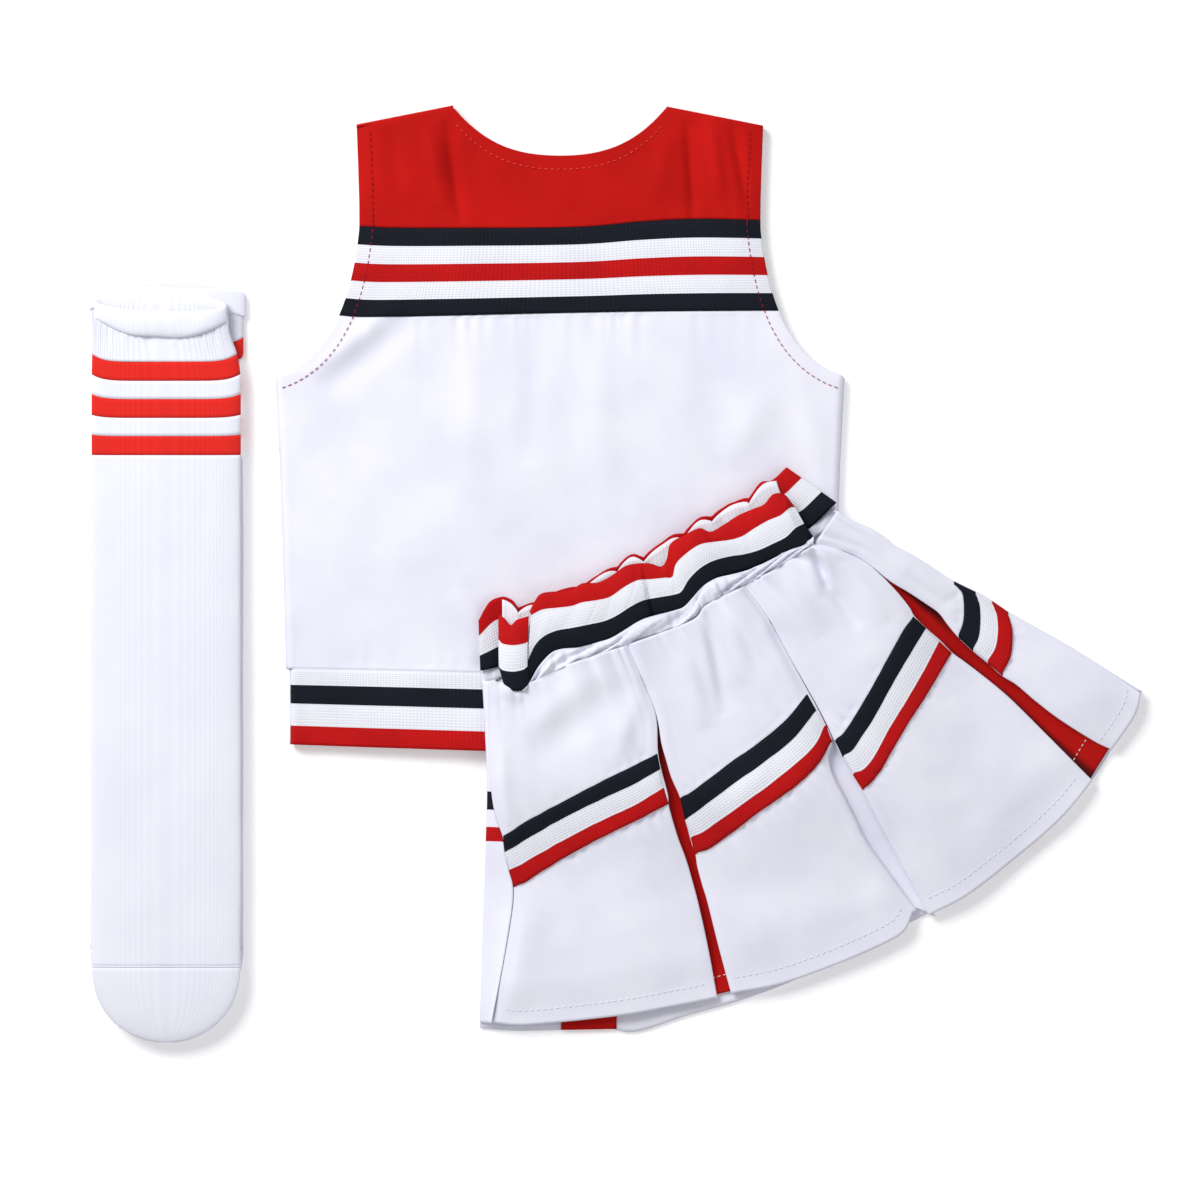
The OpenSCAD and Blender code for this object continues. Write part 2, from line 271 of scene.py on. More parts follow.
def creased(along, size, seed):
    """Rounded bulges with sharp creases between them, as in gathered cloth. It goes from 0 to 1."""
    return min(1.0, 3.2 * abs(noise.noise(Vector((along / size, seed, 0.37)))))


def total(shapes, p):
    return sum(shape(p) for shape in shapes)


# ---- making pieces ----


# The materials by their short names, filled by the operator that makes them
MATERIALS = {}


def add_piece(name, bm, materials, body, node, slot):
    """Puts a finished mesh into the scene as a piece that rides on a body and stands for a node."""
    mesh = bpy.data.meshes.new(name)
    bm.to_mesh(mesh)
    bm.free()
    mesh.shade_smooth()
    for each in materials.split(", "):
        mesh.materials.append(MATERIALS[each])
    piece = bpy.data.objects.new(name, mesh)
    bpy.context.scene.collection.objects.link(piece)
    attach(piece, body)
    if node:
        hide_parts(node)
    return piece


def cloth(name, us, vs, place, materials, body, node, slot, thick=0.6, stripe=None, size=None,
          rests_on=None, tube=False, keep=None, painted_shade=None):
    """A grid of cloth, put in place point by point by place(u, v) in millimetres, with a thickness.

    size is the cut's width and length in millimetres, and the weave follows it. rests_on, the
    piece below, is not used. keep(v) says which rows stay, and the last argument says how much
    painted shade is put into the colour at each point, from 0 to 1."""
    bm = bmesh.new()
    cut = bm.loops.layers.uv.new("cut")
    # This vertex attribute holds painted shade, from 0 to 1, that the pleat material mixes into its
    # red.
    depth = bm.verts.layers.float.new("painted_pleat_shade")
    columns, rows = len(us) - 1, len(vs) - 1
    bmesh.ops.create_grid(bm, x_segments=columns, y_segments=rows, size=0.5)
    spots = {vert: (round((vert.co.x + 0.5) * columns), round((0.5 - vert.co.y) * rows))
             for vert in bm.verts}
    for face in bm.faces:
        for loop in face.loops:
            i, j = spots[loop.vert]
            loop[cut].uv = (i / columns * size[0] * MM, j / rows * size[1] * MM)
        if stripe:
            u = sum(us[spots[vert][0]] for vert in face.verts) / 4
            v = sum(vs[spots[vert][1]] for vert in face.verts) / 4
            face.material_index = stripe(u, v)
    for vert, (i, j) in spots.items():
        vert.co = Vector(place(us[i], vs[j])) * MM
        vert[depth] = painted_shade(us[i], vs[j]) if painted_shade else 0.0
    if keep:
        gone = [f for f in bm.faces if not keep(sum(vs[spots[vert][1]] for vert in f.verts) / 4)]
        bmesh.ops.delete(bm, geom=gone, context="FACES")
    if tube:
        bmesh.ops.remove_doubles(bm, verts=bm.verts, dist=1e-6)
        bmesh.ops.reverse_faces(bm, faces=bm.faces)
    piece = add_piece(name, bm, materials, body, node, slot)
    shell = piece.modifiers.new("thickness", "SOLIDIFY")
    shell.thickness = thick * MM
    shell.offset = -1
    return piece


def ridge(name, points, radius, materials, body, node, slot, around=8):
    """A thin round ridge, such as an overlocked seam, swept along points in millimetres."""
    bm = bmesh.new()
    count = len(points) - 1
    bmesh.ops.create_cone(bm, cap_ends=True, segments=around, radius1=1, radius2=1, depth=count)
    for k in range(1, count):
        height = k - count / 2
        bmesh.ops.bisect_plane(bm, geom=bm.verts[:] + bm.edges[:] + bm.faces[:],
                               plane_co=(0, 0, height), plane_no=(0, 0, 1))
    for vert in bm.verts:
        k = min(count, max(0, round(vert.co.z + count / 2)))
        ahead = (points[min(count, k + 1)] - points[max(0, k - 1)]).normalized()
        out = ahead.cross(Vector((0, 0, 1))).normalized()
        up = out.cross(ahead)
        vert.co = (points[k] + (out * vert.co.x + up * vert.co.y) * radius) * MM
    bmesh.ops.recalc_face_normals(bm, faces=bm.faces)
    return add_piece(name, bm, materials, body, node, slot)


def stitches(name, paths, materials, body, node, slot, dash=2.6, gap=0.9, radius=0.28):
    """Rows of stitches, each a short thread that dips into the cloth at both ends."""
    bm = bmesh.new()
    for points in paths:
        run = sum((b - a).length for a, b in zip(points, points[1:]))
        count = max(1, round(run / (dash + gap)))
        marks = evenly(points, count * 2)
        for k in range(count):
            a, b = marks[2 * k], marks[2 * k + 1]
            b = a + (b - a) * (2 * dash / (dash + gap))
            middle, ahead = (a + b) / 2, (b - a).normalized()
            turn = ahead.to_track_quat("Z", "X").to_matrix().to_4x4()
            stretch = Matrix.Diagonal((1, 1, (b - a).length / 2 / radius, 1))
            bmesh.ops.create_icosphere(bm, subdivisions=1, radius=radius * MM,
                                       matrix=Matrix.Translation(middle * MM) @ turn @ stretch)
    return add_piece(name, bm, materials, body, node, slot)


# ---- materials ----


def linear(text):
    """The linear colour, with alpha, of an sRGB hex value such as #C81A14."""
    parts = [int(text[i : i + 2], 16) / 255 for i in (1, 3, 5)]
    parts = [c / 12.92 if c <= 0.04045 else ((c + 0.055) / 1.055) ** 2.4 for c in parts]
    return (*parts, 1.0)


def add_node(tree, kind, inputs=None, **settings):
    """Adds a node with its settings. An input is a value, or an output socket to link from."""
    node = tree.nodes.new(kind)
    for key, value in settings.items():
        setattr(node, key, value)
    for key, value in (inputs or {}).items():
        if isinstance(value, bpy.types.NodeSocket):
            tree.links.new(value, node.inputs[key])
        else:
            node.inputs[key].default_value = value
    return node


def wave_scale(pitch):
    """The scale at which a band wave repeats once in pitch millimetres."""
    return math.pi / 10 / (pitch * MM)


def finish_material(made, roughness, sheen, colour, relief, height):
    """Links a colour, and a relief of a height in millimetres, into a cloth shader."""
    material, tree = made
    shader = tree.nodes["Principled BSDF"]
    bump = add_node(tree, "ShaderNodeBump",
                    {"Height": relief, "Distance": height * MM, "Strength": 1.0})
    tree.links.new(colour, shader.inputs["Base Color"])
    tree.links.new(bump.outputs["Normal"], shader.inputs["Normal"])
    for key, value in (("Roughness", roughness), ("Specular IOR Level", 0.15),
                       ("Sheen Weight", sheen), ("Sheen Roughness", 0.5)):
        shader.inputs[key].default_value = value
    return material


def new_material(name):
    material = bpy.data.materials.new(name)
    material.use_nodes = True
    return material, material.node_tree


def clouded(tree, colour, shade, size, amount):
    """A colour that drifts a little towards a shade, in soft patches of a size in millimetres."""
    place = add_node(tree, "ShaderNodeTexCoord")
    cloud = add_node(tree, "ShaderNodeTexNoise",
                     {"Vector": place.outputs["Object"], "Scale": 1 / (size * MM), "Detail": 3.0})
    span = add_node(tree, "ShaderNodeMapRange",
                    {"Value": cloud.outputs["Fac"], "From Min": 0.35, "From Max": 0.7,
                     "To Max": amount})
    mix = add_node(tree, "ShaderNodeMix",
                   {6: linear(colour), 7: linear(shade), 0: span.outputs["Result"]},
                   data_type="RGBA")
    return mix.outputs[2]


def painted_pleat_shade(tree, socket, shade):
    """Darkens a colour where the cloth's own attribute says so: painted shade inside a pleat."""
    share = add_node(tree, "ShaderNodeAttribute", attribute_name="painted_pleat_shade")
    mix = add_node(tree, "ShaderNodeMix",
                   {6: socket, 7: linear(shade), 0: share.outputs["Fac"]}, data_type="RGBA")
    return mix.outputs[2]


def twill(name, colour, shade, depth=None):
    """Polyester twill: a matte plain-dyed cloth with fine diagonal lines, woven from bright yarn.
    The real lines are 0.5 mm apart. They are drawn at 1.3 mm, as the finer ones can't show."""
    made = new_material(name)
    tree = made[1]
    cut = add_node(tree, "ShaderNodeTexCoord")
    lines = add_node(tree, "ShaderNodeTexWave",
                     {"Vector": cut.outputs["UV"], "Scale": wave_scale(1.3), "Distortion": 0.4,
                      "Detail": 1.0, "Detail Scale": 2.0},
                     bands_direction="DIAGONAL")
    slub = add_node(tree, "ShaderNodeTexNoise",
                    {"Vector": cut.outputs["UV"], "Scale": 1 / (2.5 * MM), "Detail": 2.0})
    relief = add_node(tree, "ShaderNodeMath",
                      {0: lines.outputs["Fac"], 1: slub.outputs["Fac"]}, operation="ADD")
    soft = clouded(tree, colour, shade, 38, 0.55)
    # depth is the colour of painted shade, mixed in where the vertex attribute marks the pleat as
    # shaded.
    if depth:
        soft = painted_pleat_shade(tree, soft, depth)
    return finish_material(made, 0.82, 0.02, soft, relief.outputs[0], 0.022)


def braid_knit(name, colour, shade):
    """Flat knitted braid: close ribs run across it, 1.7 mm apart, with rows of loops between."""
    made = new_material(name)
    tree = made[1]
    cut = add_node(tree, "ShaderNodeTexCoord")
    ribs = add_node(tree, "ShaderNodeTexWave",
                    {"Vector": cut.outputs["UV"], "Scale": wave_scale(1.7), "Distortion": 0.6,
                     "Detail": 2.0, "Detail Scale": 1.5},
                    bands_direction="X")
    loops = add_node(tree, "ShaderNodeTexWave",
                     {"Vector": cut.outputs["UV"], "Scale": wave_scale(1.4)}, bands_direction="Y")
    relief = add_node(tree, "ShaderNodeMath",
                      {0: ribs.outputs["Fac"], 1: loops.outputs["Fac"], 2: 0.0},
                      operation="MULTIPLY_ADD")
    # The colour is darkened towards the shade where the relief is low: painted shade in the grooves
    # between ribs and loops.
    tone = add_node(tree, "ShaderNodeMapRange",
                    {"Value": relief.outputs[0], "From Max": 1.0, "To Min": 0.35, "To Max": 0.0})
    mix = add_node(tree, "ShaderNodeMix",
                   {0: tone.outputs["Result"], 6: clouded(tree, colour, shade, 25, 0.35),
                    7: linear(shade)}, data_type="RGBA")
    return finish_material(made, 0.75, 0.0, mix.outputs[2], relief.outputs[0], 0.22)


def sock_rib(name, colour, shade, pitch, depth):
    """Fine cotton rib knit: soft upright wales, with a matte, slightly fuzzy face."""
    made = new_material(name)
    tree = made[1]
    cut = add_node(tree, "ShaderNodeTexCoord")
    wales = add_node(tree, "ShaderNodeTexWave",
                     {"Vector": cut.outputs["UV"], "Scale": wave_scale(pitch), "Distortion": 0.5,
                      "Detail": 2.0, "Detail Scale": 1.0},
                     bands_direction="X")
    fuzz = add_node(tree, "ShaderNodeTexNoise",
                    {"Vector": cut.outputs["UV"], "Scale": 1 / (1.6 * MM), "Detail": 2.0})
    relief = add_node(tree, "ShaderNodeMath",
                      {0: wales.outputs["Fac"], 1: fuzz.outputs["Fac"]}, operation="ADD")
    # The colour is darkened towards the shade in the low part of each wale: painted shade in the
    # grooves of the rib.
    tone = add_node(tree, "ShaderNodeMapRange",
                    {"Value": wales.outputs["Fac"], "To Min": 0.3, "To Max": 0.0})
    mix = add_node(tree, "ShaderNodeMix",
                   {0: tone.outputs["Result"], 6: clouded(tree, colour, shade, 45, 0.4),
                    7: linear(shade)}, data_type="RGBA")
    return finish_material(made, 0.9, 0.08, mix.outputs[2], relief.outputs[0], depth)


def thread(name, colour, shade):
    """Spun polyester sewing thread: a slight gloss, with its twist as fine slanting lines."""
    made = new_material(name)
    tree = made[1]
    place = add_node(tree, "ShaderNodeTexCoord")
    twist = add_node(tree, "ShaderNodeTexWave",
                     {"Vector": place.outputs["Object"], "Scale": wave_scale(0.6)},
                     bands_direction="DIAGONAL")
    tone = clouded(tree, colour, shade, 6, 0.6)
    return finish_material(made, 0.55, 0.0, tone, twist.outputs["Fac"], 0.05)


# ---- settings that a user can change ----


def hex_colour(name, description, default):
    return bpy.props.StringProperty(name=name, description=description, default=default)


def length_of(name, description, default, low, high):
    return bpy.props.FloatProperty(name=name, description=description, default=default,
                                   min=low, max=high, unit="LENGTH")


class UniformColours(bpy.types.PropertyGroup):
    """The colours of the cloth, as sRGB hex values"""

    white: hex_colour("White", "Woven white cloth", "#EEEEFA")
    skirt: hex_colour("Skirt white", "White cloth of the skirt", "#EDEDFA")
    red: hex_colour("Red", "Woven red cloth", "#C00E08")
    braid_red: hex_colour("Braid red", "Red of the braid", "#D20F11")
    navy: hex_colour("Navy", "Navy of the braid", "#161A27")
    braid_white: hex_colour("Braid white", "White of the braid", "#F4F5FC")
    sock: hex_colour("Sock white", "White of the socks", "#ECEDF8")
    sock_red: hex_colour("Sock red", "Red of the sock stripes", "#E42A22")


class UniformSizes(bpy.types.PropertyGroup):
    """The sizes that shape the cloth"""

    ply: length_of("Ply", "Thickness of the woven cloth", 0.6 * MM, 0.3 * MM, MM)
    braid: length_of("Braid", "Thickness of the knitted braid", 0.8 * MM, 0.4 * MM, 1.2 * MM)
    cell: length_of("Cell", "Spacing of the points in the cloth", 1.6 * MM, MM, 5 * MM)
    camera_height: length_of("Camera height", "Height of the camera over the layout", 2.6, 1.0, 6.0)
    view_width: length_of("View width", "Width of the surface that the camera sees", 0.66, 0.3, 2.0)


def colours():
    return bpy.context.scene.uniform_colours


def sizes():
    return bpy.context.scene.uniform_sizes


def cells(length):
    """How many cells a length in millimetres is divided into."""
    return max(2, round(length * MM / sizes().cell))


# ---- the top ----


def at_top(x, y):
    """A point of the top, measured across from its middle line."""
    return (TOP_X + x, y)


def curve(points, cuts=24):
    """A cubic curve with four control points, as a line."""
    a, b, c, d = (Vector(p) for p in points)
    made = []
    for i in range(cuts + 1):
        t = i / cuts
        near, far = a * (1 - t) ** 3 + 3 * b * t * (1 - t) ** 2, 3 * c * t * t * (1 - t)
        made.append(near + far + d * t**3)
    return Line(*made, soft=False)


# Heights and half widths of the top's corners
SHOULDER = (111.5, 246)
NECK_HALF = 58.5
NECK_LOW = 230
UNDERARM_Y = 109
BRAID_TOP = 191.5
WAIST_HALF = 150
HEM_HALF = 148
# Where the edges at the left and right of the chest braid end, above and below
CHEST_TOP = (191.3, 194.6)
CHEST_LOW = (142.4, 145)
HEM_SEAM_Y = -51.5
HEM_TOP_Y = -51.3
HEM_LOW_Y = -93


def top_line(*points, **settings):
    """A line on the top, with its points measured across from the top's middle line."""
    return Line(*[at_top(*p) for p in points], **settings)


ARM_CURVE = curve([at_top(110, 190), at_top(114, 150), at_top(CHEST_HALF - 30, 118),
                   at_top(CHEST_HALF, UNDERARM_Y)])
ARM_RIGHT = Line(at_top(*SHOULDER), at_top(110.7, 225), at_top(110.1, 205), *ARM_CURVE.points[::8],
                 soft=False)
NECK_RIGHT = curve([at_top(NECK_HALF, NECK_Y), at_top(41.5, 236), at_top(24, NECK_LOW),
                    at_top(0, NECK_LOW)])
# The chest braid isn't laid quite straight, and the hem braid sags in the middle
CHEST_TOP_LINE = top_line((-110, 191.3), (-90, 190.3), (-50, 190.2), (10, 190.8), (45, 193.8),
                          (75, 195.2), (110, 194.6))
CHEST_LOW_LINE = top_line((-120.9, 142.4), (-105, 141.4), (-60, 142.2), (0, 143.6), (60, 144.6),
                          (119.6, 145))
HEM_SEAM_LINE = top_line((-WAIST_HALF, HEM_SEAM_Y), (-90, -52.6), (0, -54.4), (90, -53),
                         (WAIST_HALF, HEM_SEAM_Y))
HEM_TOP_LINE = top_line((-HEM_HALF, HEM_TOP_Y), (-90, -52.4), (0, -54.2), (90, -52.8),
                        (HEM_HALF, HEM_TOP_Y))
HEM_LOW_LINE = top_line((-HEM_HALF, HEM_LOW_Y), (-90, -95), (0, -97.2), (90, -95),
                        (HEM_HALF, HEM_LOW_Y))
ARM_LEFT = ARM_RIGHT.mirrored(TOP_X)


def arm_parts(highs, lows):
    """The stretches of the left and the right armhole between two heights on each."""
    return [arm.part(arm.share_at_height(high), arm.share_at_height(low))
            for arm, high, low in zip((ARM_LEFT, ARM_RIGHT), highs, lows)]


def side_line(side, high=UNDERARM_Y):
    """The side seam, on the left if side is -1 and on the right if it is 1."""
    return top_line((side * CHEST_HALF, high), (side * 154.5, 80), (side * 152.8, 41),
                    (side * WAIST_HALF, HEM_SEAM_Y))


def yoke_patch():
    shoulder_r = top_line((NECK_HALF, NECK_Y), SHOULDER)
    shoulder_l = top_line((-SHOULDER[0], SHOULDER[1]), (-NECK_HALF, NECK_Y))
    neck = Line(*NECK_RIGHT.mirrored(TOP_X).points[::6], *NECK_RIGHT.points[::-6][1:], soft=False)
    top = Chain((shoulder_l, 0.24), (neck, 0.52), (shoulder_r, 0.24))
    return patch(top, CHEST_TOP_LINE, *arm_parts((SHOULDER[1],) * 2, CHEST_TOP))


def chest_patch():
    return patch(CHEST_TOP_LINE, CHEST_LOW_LINE, *arm_parts(CHEST_TOP, CHEST_LOW))


def body_patch():
    edges = [Chain((arm, 0.26), (side_line(side), 0.74))
             for side, arm in zip((-1, 1), arm_parts(CHEST_LOW, (UNDERARM_Y,) * 2))]
    return patch(CHEST_LOW_LINE, HEM_SEAM_LINE, *edges)


def hem_patch():
    edges = [top_line((x, HEM_TOP_Y), (x, HEM_LOW_Y)) for x in (-HEM_HALF, HEM_HALF)]
    return patch(HEM_TOP_LINE, HEM_LOW_LINE, *edges)


SIDE_ROLL = 4.0
TOP_SHAPES = [
    drift(75, 1.9, 0.3), drift(30, 0.7, 4.1),
    # Puckers below the chest braid, at its upper edge, and above the hem braid
    puckers(at_top(-60, 142.2), at_top(60, 144.6), 8.0, 1.0, 9.0),
    puckers(at_top(-118, 141.5), at_top(118, 144.5), 17.0, 0.6, 16.0),
    puckers(at_top(-20, 190.8), at_top(108, 194.8), 9.0, 0.5, 5.0, below=False),
    puckers(at_top(-150, -51), at_top(150, -51), 13.0, 0.5, 6.0, below=False),
    *folds(
        TOP_X,
        # Soft slanting folds from the left armhole, and upright ones in the middle
        (-140, 108, -86, 150, 2.2, 6), (-130, 100, -76, 142, -1.6, 7), (-46, 143, -50, 40, 1.3, 9),
        (-12, 143, -16, 60, -1.2, 7), (20, 143, 24, 20, 1.2, 10), (78, 143, 92, 50, -1.0, 10),
        (120, 108, 90, 60, 1.4, 10), (-140, 60, -60, -40, 1.0, 16), (-60, -10, -20, -50, 1.8, 6),
        (-52, -2, -24, -40, -1.2, 6), (128, 118, 148, 40, 1.0, 7),
        # Upright folds in the yoke
        (-62, 250, -54, 192, -3.3, 3.0), (-72, 248, -64, 200, 2.2, 4.2),
        (-92, 246, -88, 205, -1.2, 5), (-40, 236, -30, 200, 0.9, 6), (70, 250, 74, 194, -3.2, 3.0),
        (94, 250, 104, 200, -2.8, 3.4), (82, 252, 88, 206, 2.4, 4.2), (0, 228, 6, 200, 0.9, 10),
        (60, 244, 52, 204, 1.2, 5),
    ),
]


def to_edge(shape, u, v):
    """How far a point is from the nearer side of its piece, and how far the ply rolls there."""
    edge = (shape(1, v) - shape(0, v)).length / 2 * (1 - abs(2 * u - 1))
    near = min(1.0, edge / SIDE_ROLL)
    return edge, 1 - math.sqrt(max(0.0, 1 - (1 - near) ** 2))


def front_ply(shape, roll, lift, crown):
    """Places the front ply: it lies over the back and rolls down to it at the side seams.
    roll(v) says how far the edges at that row are sewn to the back, from 0 to 1."""

    def place(u, v):
        p = shape(u, v)
        edge, round_off = to_edge(shape, u, v)
        sewn = roll(v)
        drop = (FRONT_Z - TOP_MID_Z) * round_off * sewn + 0.9 * math.exp(-edge / 5) * (1 - sewn)
        z = FRONT_Z + lift - drop + total(TOP_SHAPES, p) * smooth(edge / 12)
        return p.x, p.y, z + (crown(u, v) if crown else 0.0)

    return place


def back_ply(shape, roll):
    """Places the back ply, flat on the surface, and rolled up to the front at the side seams."""

    def place(u, v):
        p = shape(u, v)
        return p.x, p.y, BACK_Z + (TOP_MID_Z - 0.3 - BACK_Z) * to_edge(shape, u, v)[1] * roll(v)

    return place


def band_rows(stripes, each=5):
    """Row places for a striped band, and the function that says which stripe a row is in."""
    edges = [0.0]
    for _, share in stripes:
        edges.append(edges[-1] + share)
    edges = [e / edges[-1] for e in edges]
    rows = [row for a, b in zip(edges, edges[1:]) for row in steps(each, a, b)[:-1]] + [1.0]
    names = sorted({name for name, _ in stripes})

    def stripe_at(v):
        return next(k for k in range(len(stripes)) if v <= edges[k + 1] + 1e-9)

    def which(_, v):
        return names.index(stripes[stripe_at(v)][0])

    def crown(_, v):
        k = stripe_at(v)
        across = (v - edges[k]) / (edges[k + 1] - edges[k])
        return 0.35 * math.sin(math.pi * min(1.0, max(0.0, across))) ** 0.5

    return rows, which, crown, ", ".join(names)


CHEST_STRIPES = [("navy", 1), ("braid white", 1), ("braid red", 1), ("braid white", 1), ("navy", 1)]
HEM_STRIPES = [("braid white", 9), ("navy", 10.3), ("braid white", 12.2), ("braid red", 10.5)]
BAND_STRIPES = [("braid red", 1), ("braid white", 1), ("navy", 1)]
BACK_BAND_STRIPES = [("braid red", 10), ("braid white", 13), ("navy", 10)]
TRIM_STRIPES = [("navy", 1), ("braid white", 1), ("braid red", 1)]


def open_edge(_):
    return 0.0


def sewn_edge(_):
    return 1.0


def body_edge(v):
    """The body's edge is open along the armhole, and sewn below the underarm."""
    return smooth((v - 0.2) / 0.08)


# The four pieces of each side of the top: name, cloth or braid, patch, edge, stripes with the rows
# in each, steps across at the front and at the back, lift and flat size
TOP_PIECES = [
    ("yoke", "cloth", yoke_patch, open_edge, None, 230, 62, 60, 20, 0.0, (223, 65)),
    ("chest_braid", "knit", chest_patch, open_edge, CHEST_STRIPES, 230, 5, 60, 3, 0.3, (242, 50)),
    ("body", "cloth", body_patch, body_edge, None, 312, 200, 90, 60, 0.0, (312, 197)),
    ("hem_braid", "knit", hem_patch, sewn_edge, HEM_STRIPES, 300, 6, 90, 3, 0.25, (300, 43)),
]


def top_side(side):
    """Makes the front or the back of the top. The front has finer steps and thicker braid."""
    front = side == "front"
    for part, kind, shape, roll, stripes, wide, tall, few, short, lift, size in TOP_PIECES:
        across = edge_dense(cells(wide) if front else few)
        which, crown, thick = None, None, sizes().ply / MM
        if stripes:
            rows, which, crown, names = band_rows(stripes, tall if front else short)
            slot, thick = "striped_braid", sizes().braid / MM if front else thick
        else:
            rows = steps(cells(tall) if front else short)
            names = "red" if part == "yoke" else "white"
            slot = f"{names}_twill"
        place = front_ply(shape(), roll, lift, crown) if front else back_ply(shape(), roll)
        cloth(f"{side}_{part}_{kind}", across, rows, place, names, "top", f"{side}_{part}", slot,
              thick, which, size, rests_on=f"back_{part}_{kind}" if front else None)


class UNIFORM_OT_top_front(bpy.types.Operator):
    """Front of the top: yoke, chest braid, body and hem braid"""

    bl_idname = "uniform.top_front"
    bl_label = "Top front"

    def execute(self, context):
        top_side("front")
        return {"FINISHED"}


class UNIFORM_OT_top_back(bpy.types.Operator):
    """Back of the top: the same four pieces, lying on the surface"""

    bl_idname = "uniform.top_back"
    bl_label = "Top back"

    def execute(self, context):
        top_side("back")
        return {"FINISHED"}


def raised(line, count):
    """Points along a line of the top, at the height where its plies meet."""
    return [Vector((*line(t), TOP_MID_Z)) for t in steps(count)]


def front_surface_z(p, lift):
    """The height of the front ply at a point away from its edges."""
    return FRONT_Z + lift + total(TOP_SHAPES, p)


class UNIFORM_OT_top_edges(bpy.types.Operator):
    """Seams, facings and topstitching of the top"""

    bl_idname = "uniform.top_edges"
    bl_label = "Top seams and stitching"

    def execute(self, context):
        for side, word in ((-1, "left"), (1, "right")):
            hem = top_line((side * HEM_HALF, -52), (side * HEM_HALF, HEM_LOW_Y))
            points = raised(side_line(side, 108), 40) + raised(hem, 10)
            ridge(f"{word}_side_seam_overlock", points, 0.5, "white", "top", f"{word}_side_seam",
                  "white_twill")
            self.shoulder(top_line((side * SHOULDER[0], SHOULDER[1] - 0.6),
                                   (side * NECK_HALF, NECK_Y - 0.6)), word)
            arm = ARM_RIGHT if side > 0 else ARM_LEFT
            self.armhole(arm, side, word)
        self.neck()
        return {"FINISHED"}

    def shoulder(self, line, word):
        """The shoulder seam joins the two plies over the fold of the shoulder."""

        def place(u, v):
            p = line(u)
            turn = math.pi * v
            reach = (FRONT_Z - BACK_Z) / 2
            return p.x, p.y + 1.4 * math.sin(turn), TOP_MID_Z + reach * math.cos(turn)

        cloth(f"{word}_shoulder_seam_cloth", steps(26), steps(8), place, "red", "top",
              f"{word}_shoulder_seam", "red_twill", 0.6, size=(54, 12))

    def armhole(self, arm, side, word):
        """The turned-in edge of the armhole under the front ply, and the stitches that hold it."""
        edge = Line(at_top(side * SHOULDER[0], SHOULDER[1] - 3), at_top(side * 110.3, 215),
                    *[arm(t) for t in steps(14, 0.25, 1.0)])

        def place(u, v):
            p = edge(v)
            return p.x - side * (0.4 + 7 * u), p.y - 2 * u * smooth((150 - p.y) / 30), FRONT_Z - 1.6

        cloth(f"{word}_armhole_facing_cloth", steps(5), steps(70), place, "white", "top",
              f"{word}_armhole_facing", "white_twill", 0.4, size=(7.3 + 2.8, 168))
        seam = []
        for t in steps(110):
            ahead = (edge(min(1, t + 0.01)) - edge(t - 0.01)).normalized()
            q = edge(t) + Vector((ahead.y, -ahead.x)) * side * 7.4
            seam.append(Vector((q.x, q.y, front_surface_z(q, 0.45))))
        upper = [q for q in seam if q.y > BRAID_TOP]
        lower = [q for q in seam if q.y <= BRAID_TOP + 2]
        stitches(f"{word}_armhole_stitches", [lower], "maroon thread", "top",
                 f"{word}_armhole_topstitch", "maroon_thread")
        stitches(f"{word}_yoke_edge_stitches", [upper], "dark red thread", "top", None,
                 "maroon_thread")

    def neck(self):
        """The neck facing and its topstitching."""
        right = [NECK_RIGHT(t) for t in steps(30, 0.02, 1)]
        edge = Line(*[Vector((2 * TOP_X - p.x, p.y)) for p in right], *right[-2::-1])

        def place(u, v):
            p = edge(v)
            return p.x, p.y - 0.6 - 7.5 * u, FRONT_Z - 1.6

        cloth("neck_facing_cloth", steps(4), steps(70), place, "red", "top", "neck_facing",
              "red_twill", 0.4, size=(10, 124))
        path = []
        for t in steps(90, 0.01, 0.99):
            p = edge(t) + Vector((0, -7.6))
            path.append(Vector((p.x, p.y, front_surface_z(p, 0.45))))
        stitches("neck_stitches", [path], "red thread", "top", "neck_topstitch",
                 "red_thread", dash=2.2, gap=1.3)


# ---- the skirt ----


def face_z(p):
    """Height of the face under the skirt: over the top, then softly down to the surface."""
    gap = max(p.x - TOP_RIGHT, TOP_LOW - p.y)
    return SKIRT_Z * (1 - smooth((gap - DROP_START) / DROP_RUN))


# Fold lines of the front pleats, from the waist seam to the hem
FOLD_1L = Line((-69.5, -58), (-69, -85), (-68.5, -110), (-67, -126), (-64, -137), (-61.7, -144),
               (-60.6, -152), (-58.4, -162), (-56.2, -171), (-57, -185), (-62, -215), (-68, -246))
FOLD_1R = Line((6.5, -38.2), (14.5, -57), (20.5, -71), (22.7, -81), (23.3, -97), (25.5, -108),
               (28.7, -120), (29.4, -127), (34, -143), (38.5, -155), (41.8, -166), (46, -182),
               (51, -205), (56, -232))
FOLD_2L = Line((6.5, -38.2), (14.5, -57), (20.5, -71), (23.3, -81), (25, -92), (27.5, -101),
               (30.5, -111), (35.3, -122), (38, -133), (41, -145), (43.7, -153), (44.8, -160),
               (47.5, -170), (50.5, -180), (56.5, -204), (63.5, -230))
FOLD_2R = Line((70.5, -5.8), (83.5, -23.8), (94.5, -43.8), (105.4, -63.8), (110.4, -73),
               (114.5, -81), (118.5, -91), (116.5, -100), (119, -109), (125, -120), (132, -134),
               (140, -149), (166, -184))
FOLD_3L = Line((70.5, -5.8), (83.5, -23.8), (94.5, -43.8), (105.7, -63.6), (111, -73),
               (115.5, -82), (119.5, -90.5), (124, -100), (135, -118), (145, -137), (172, -187))
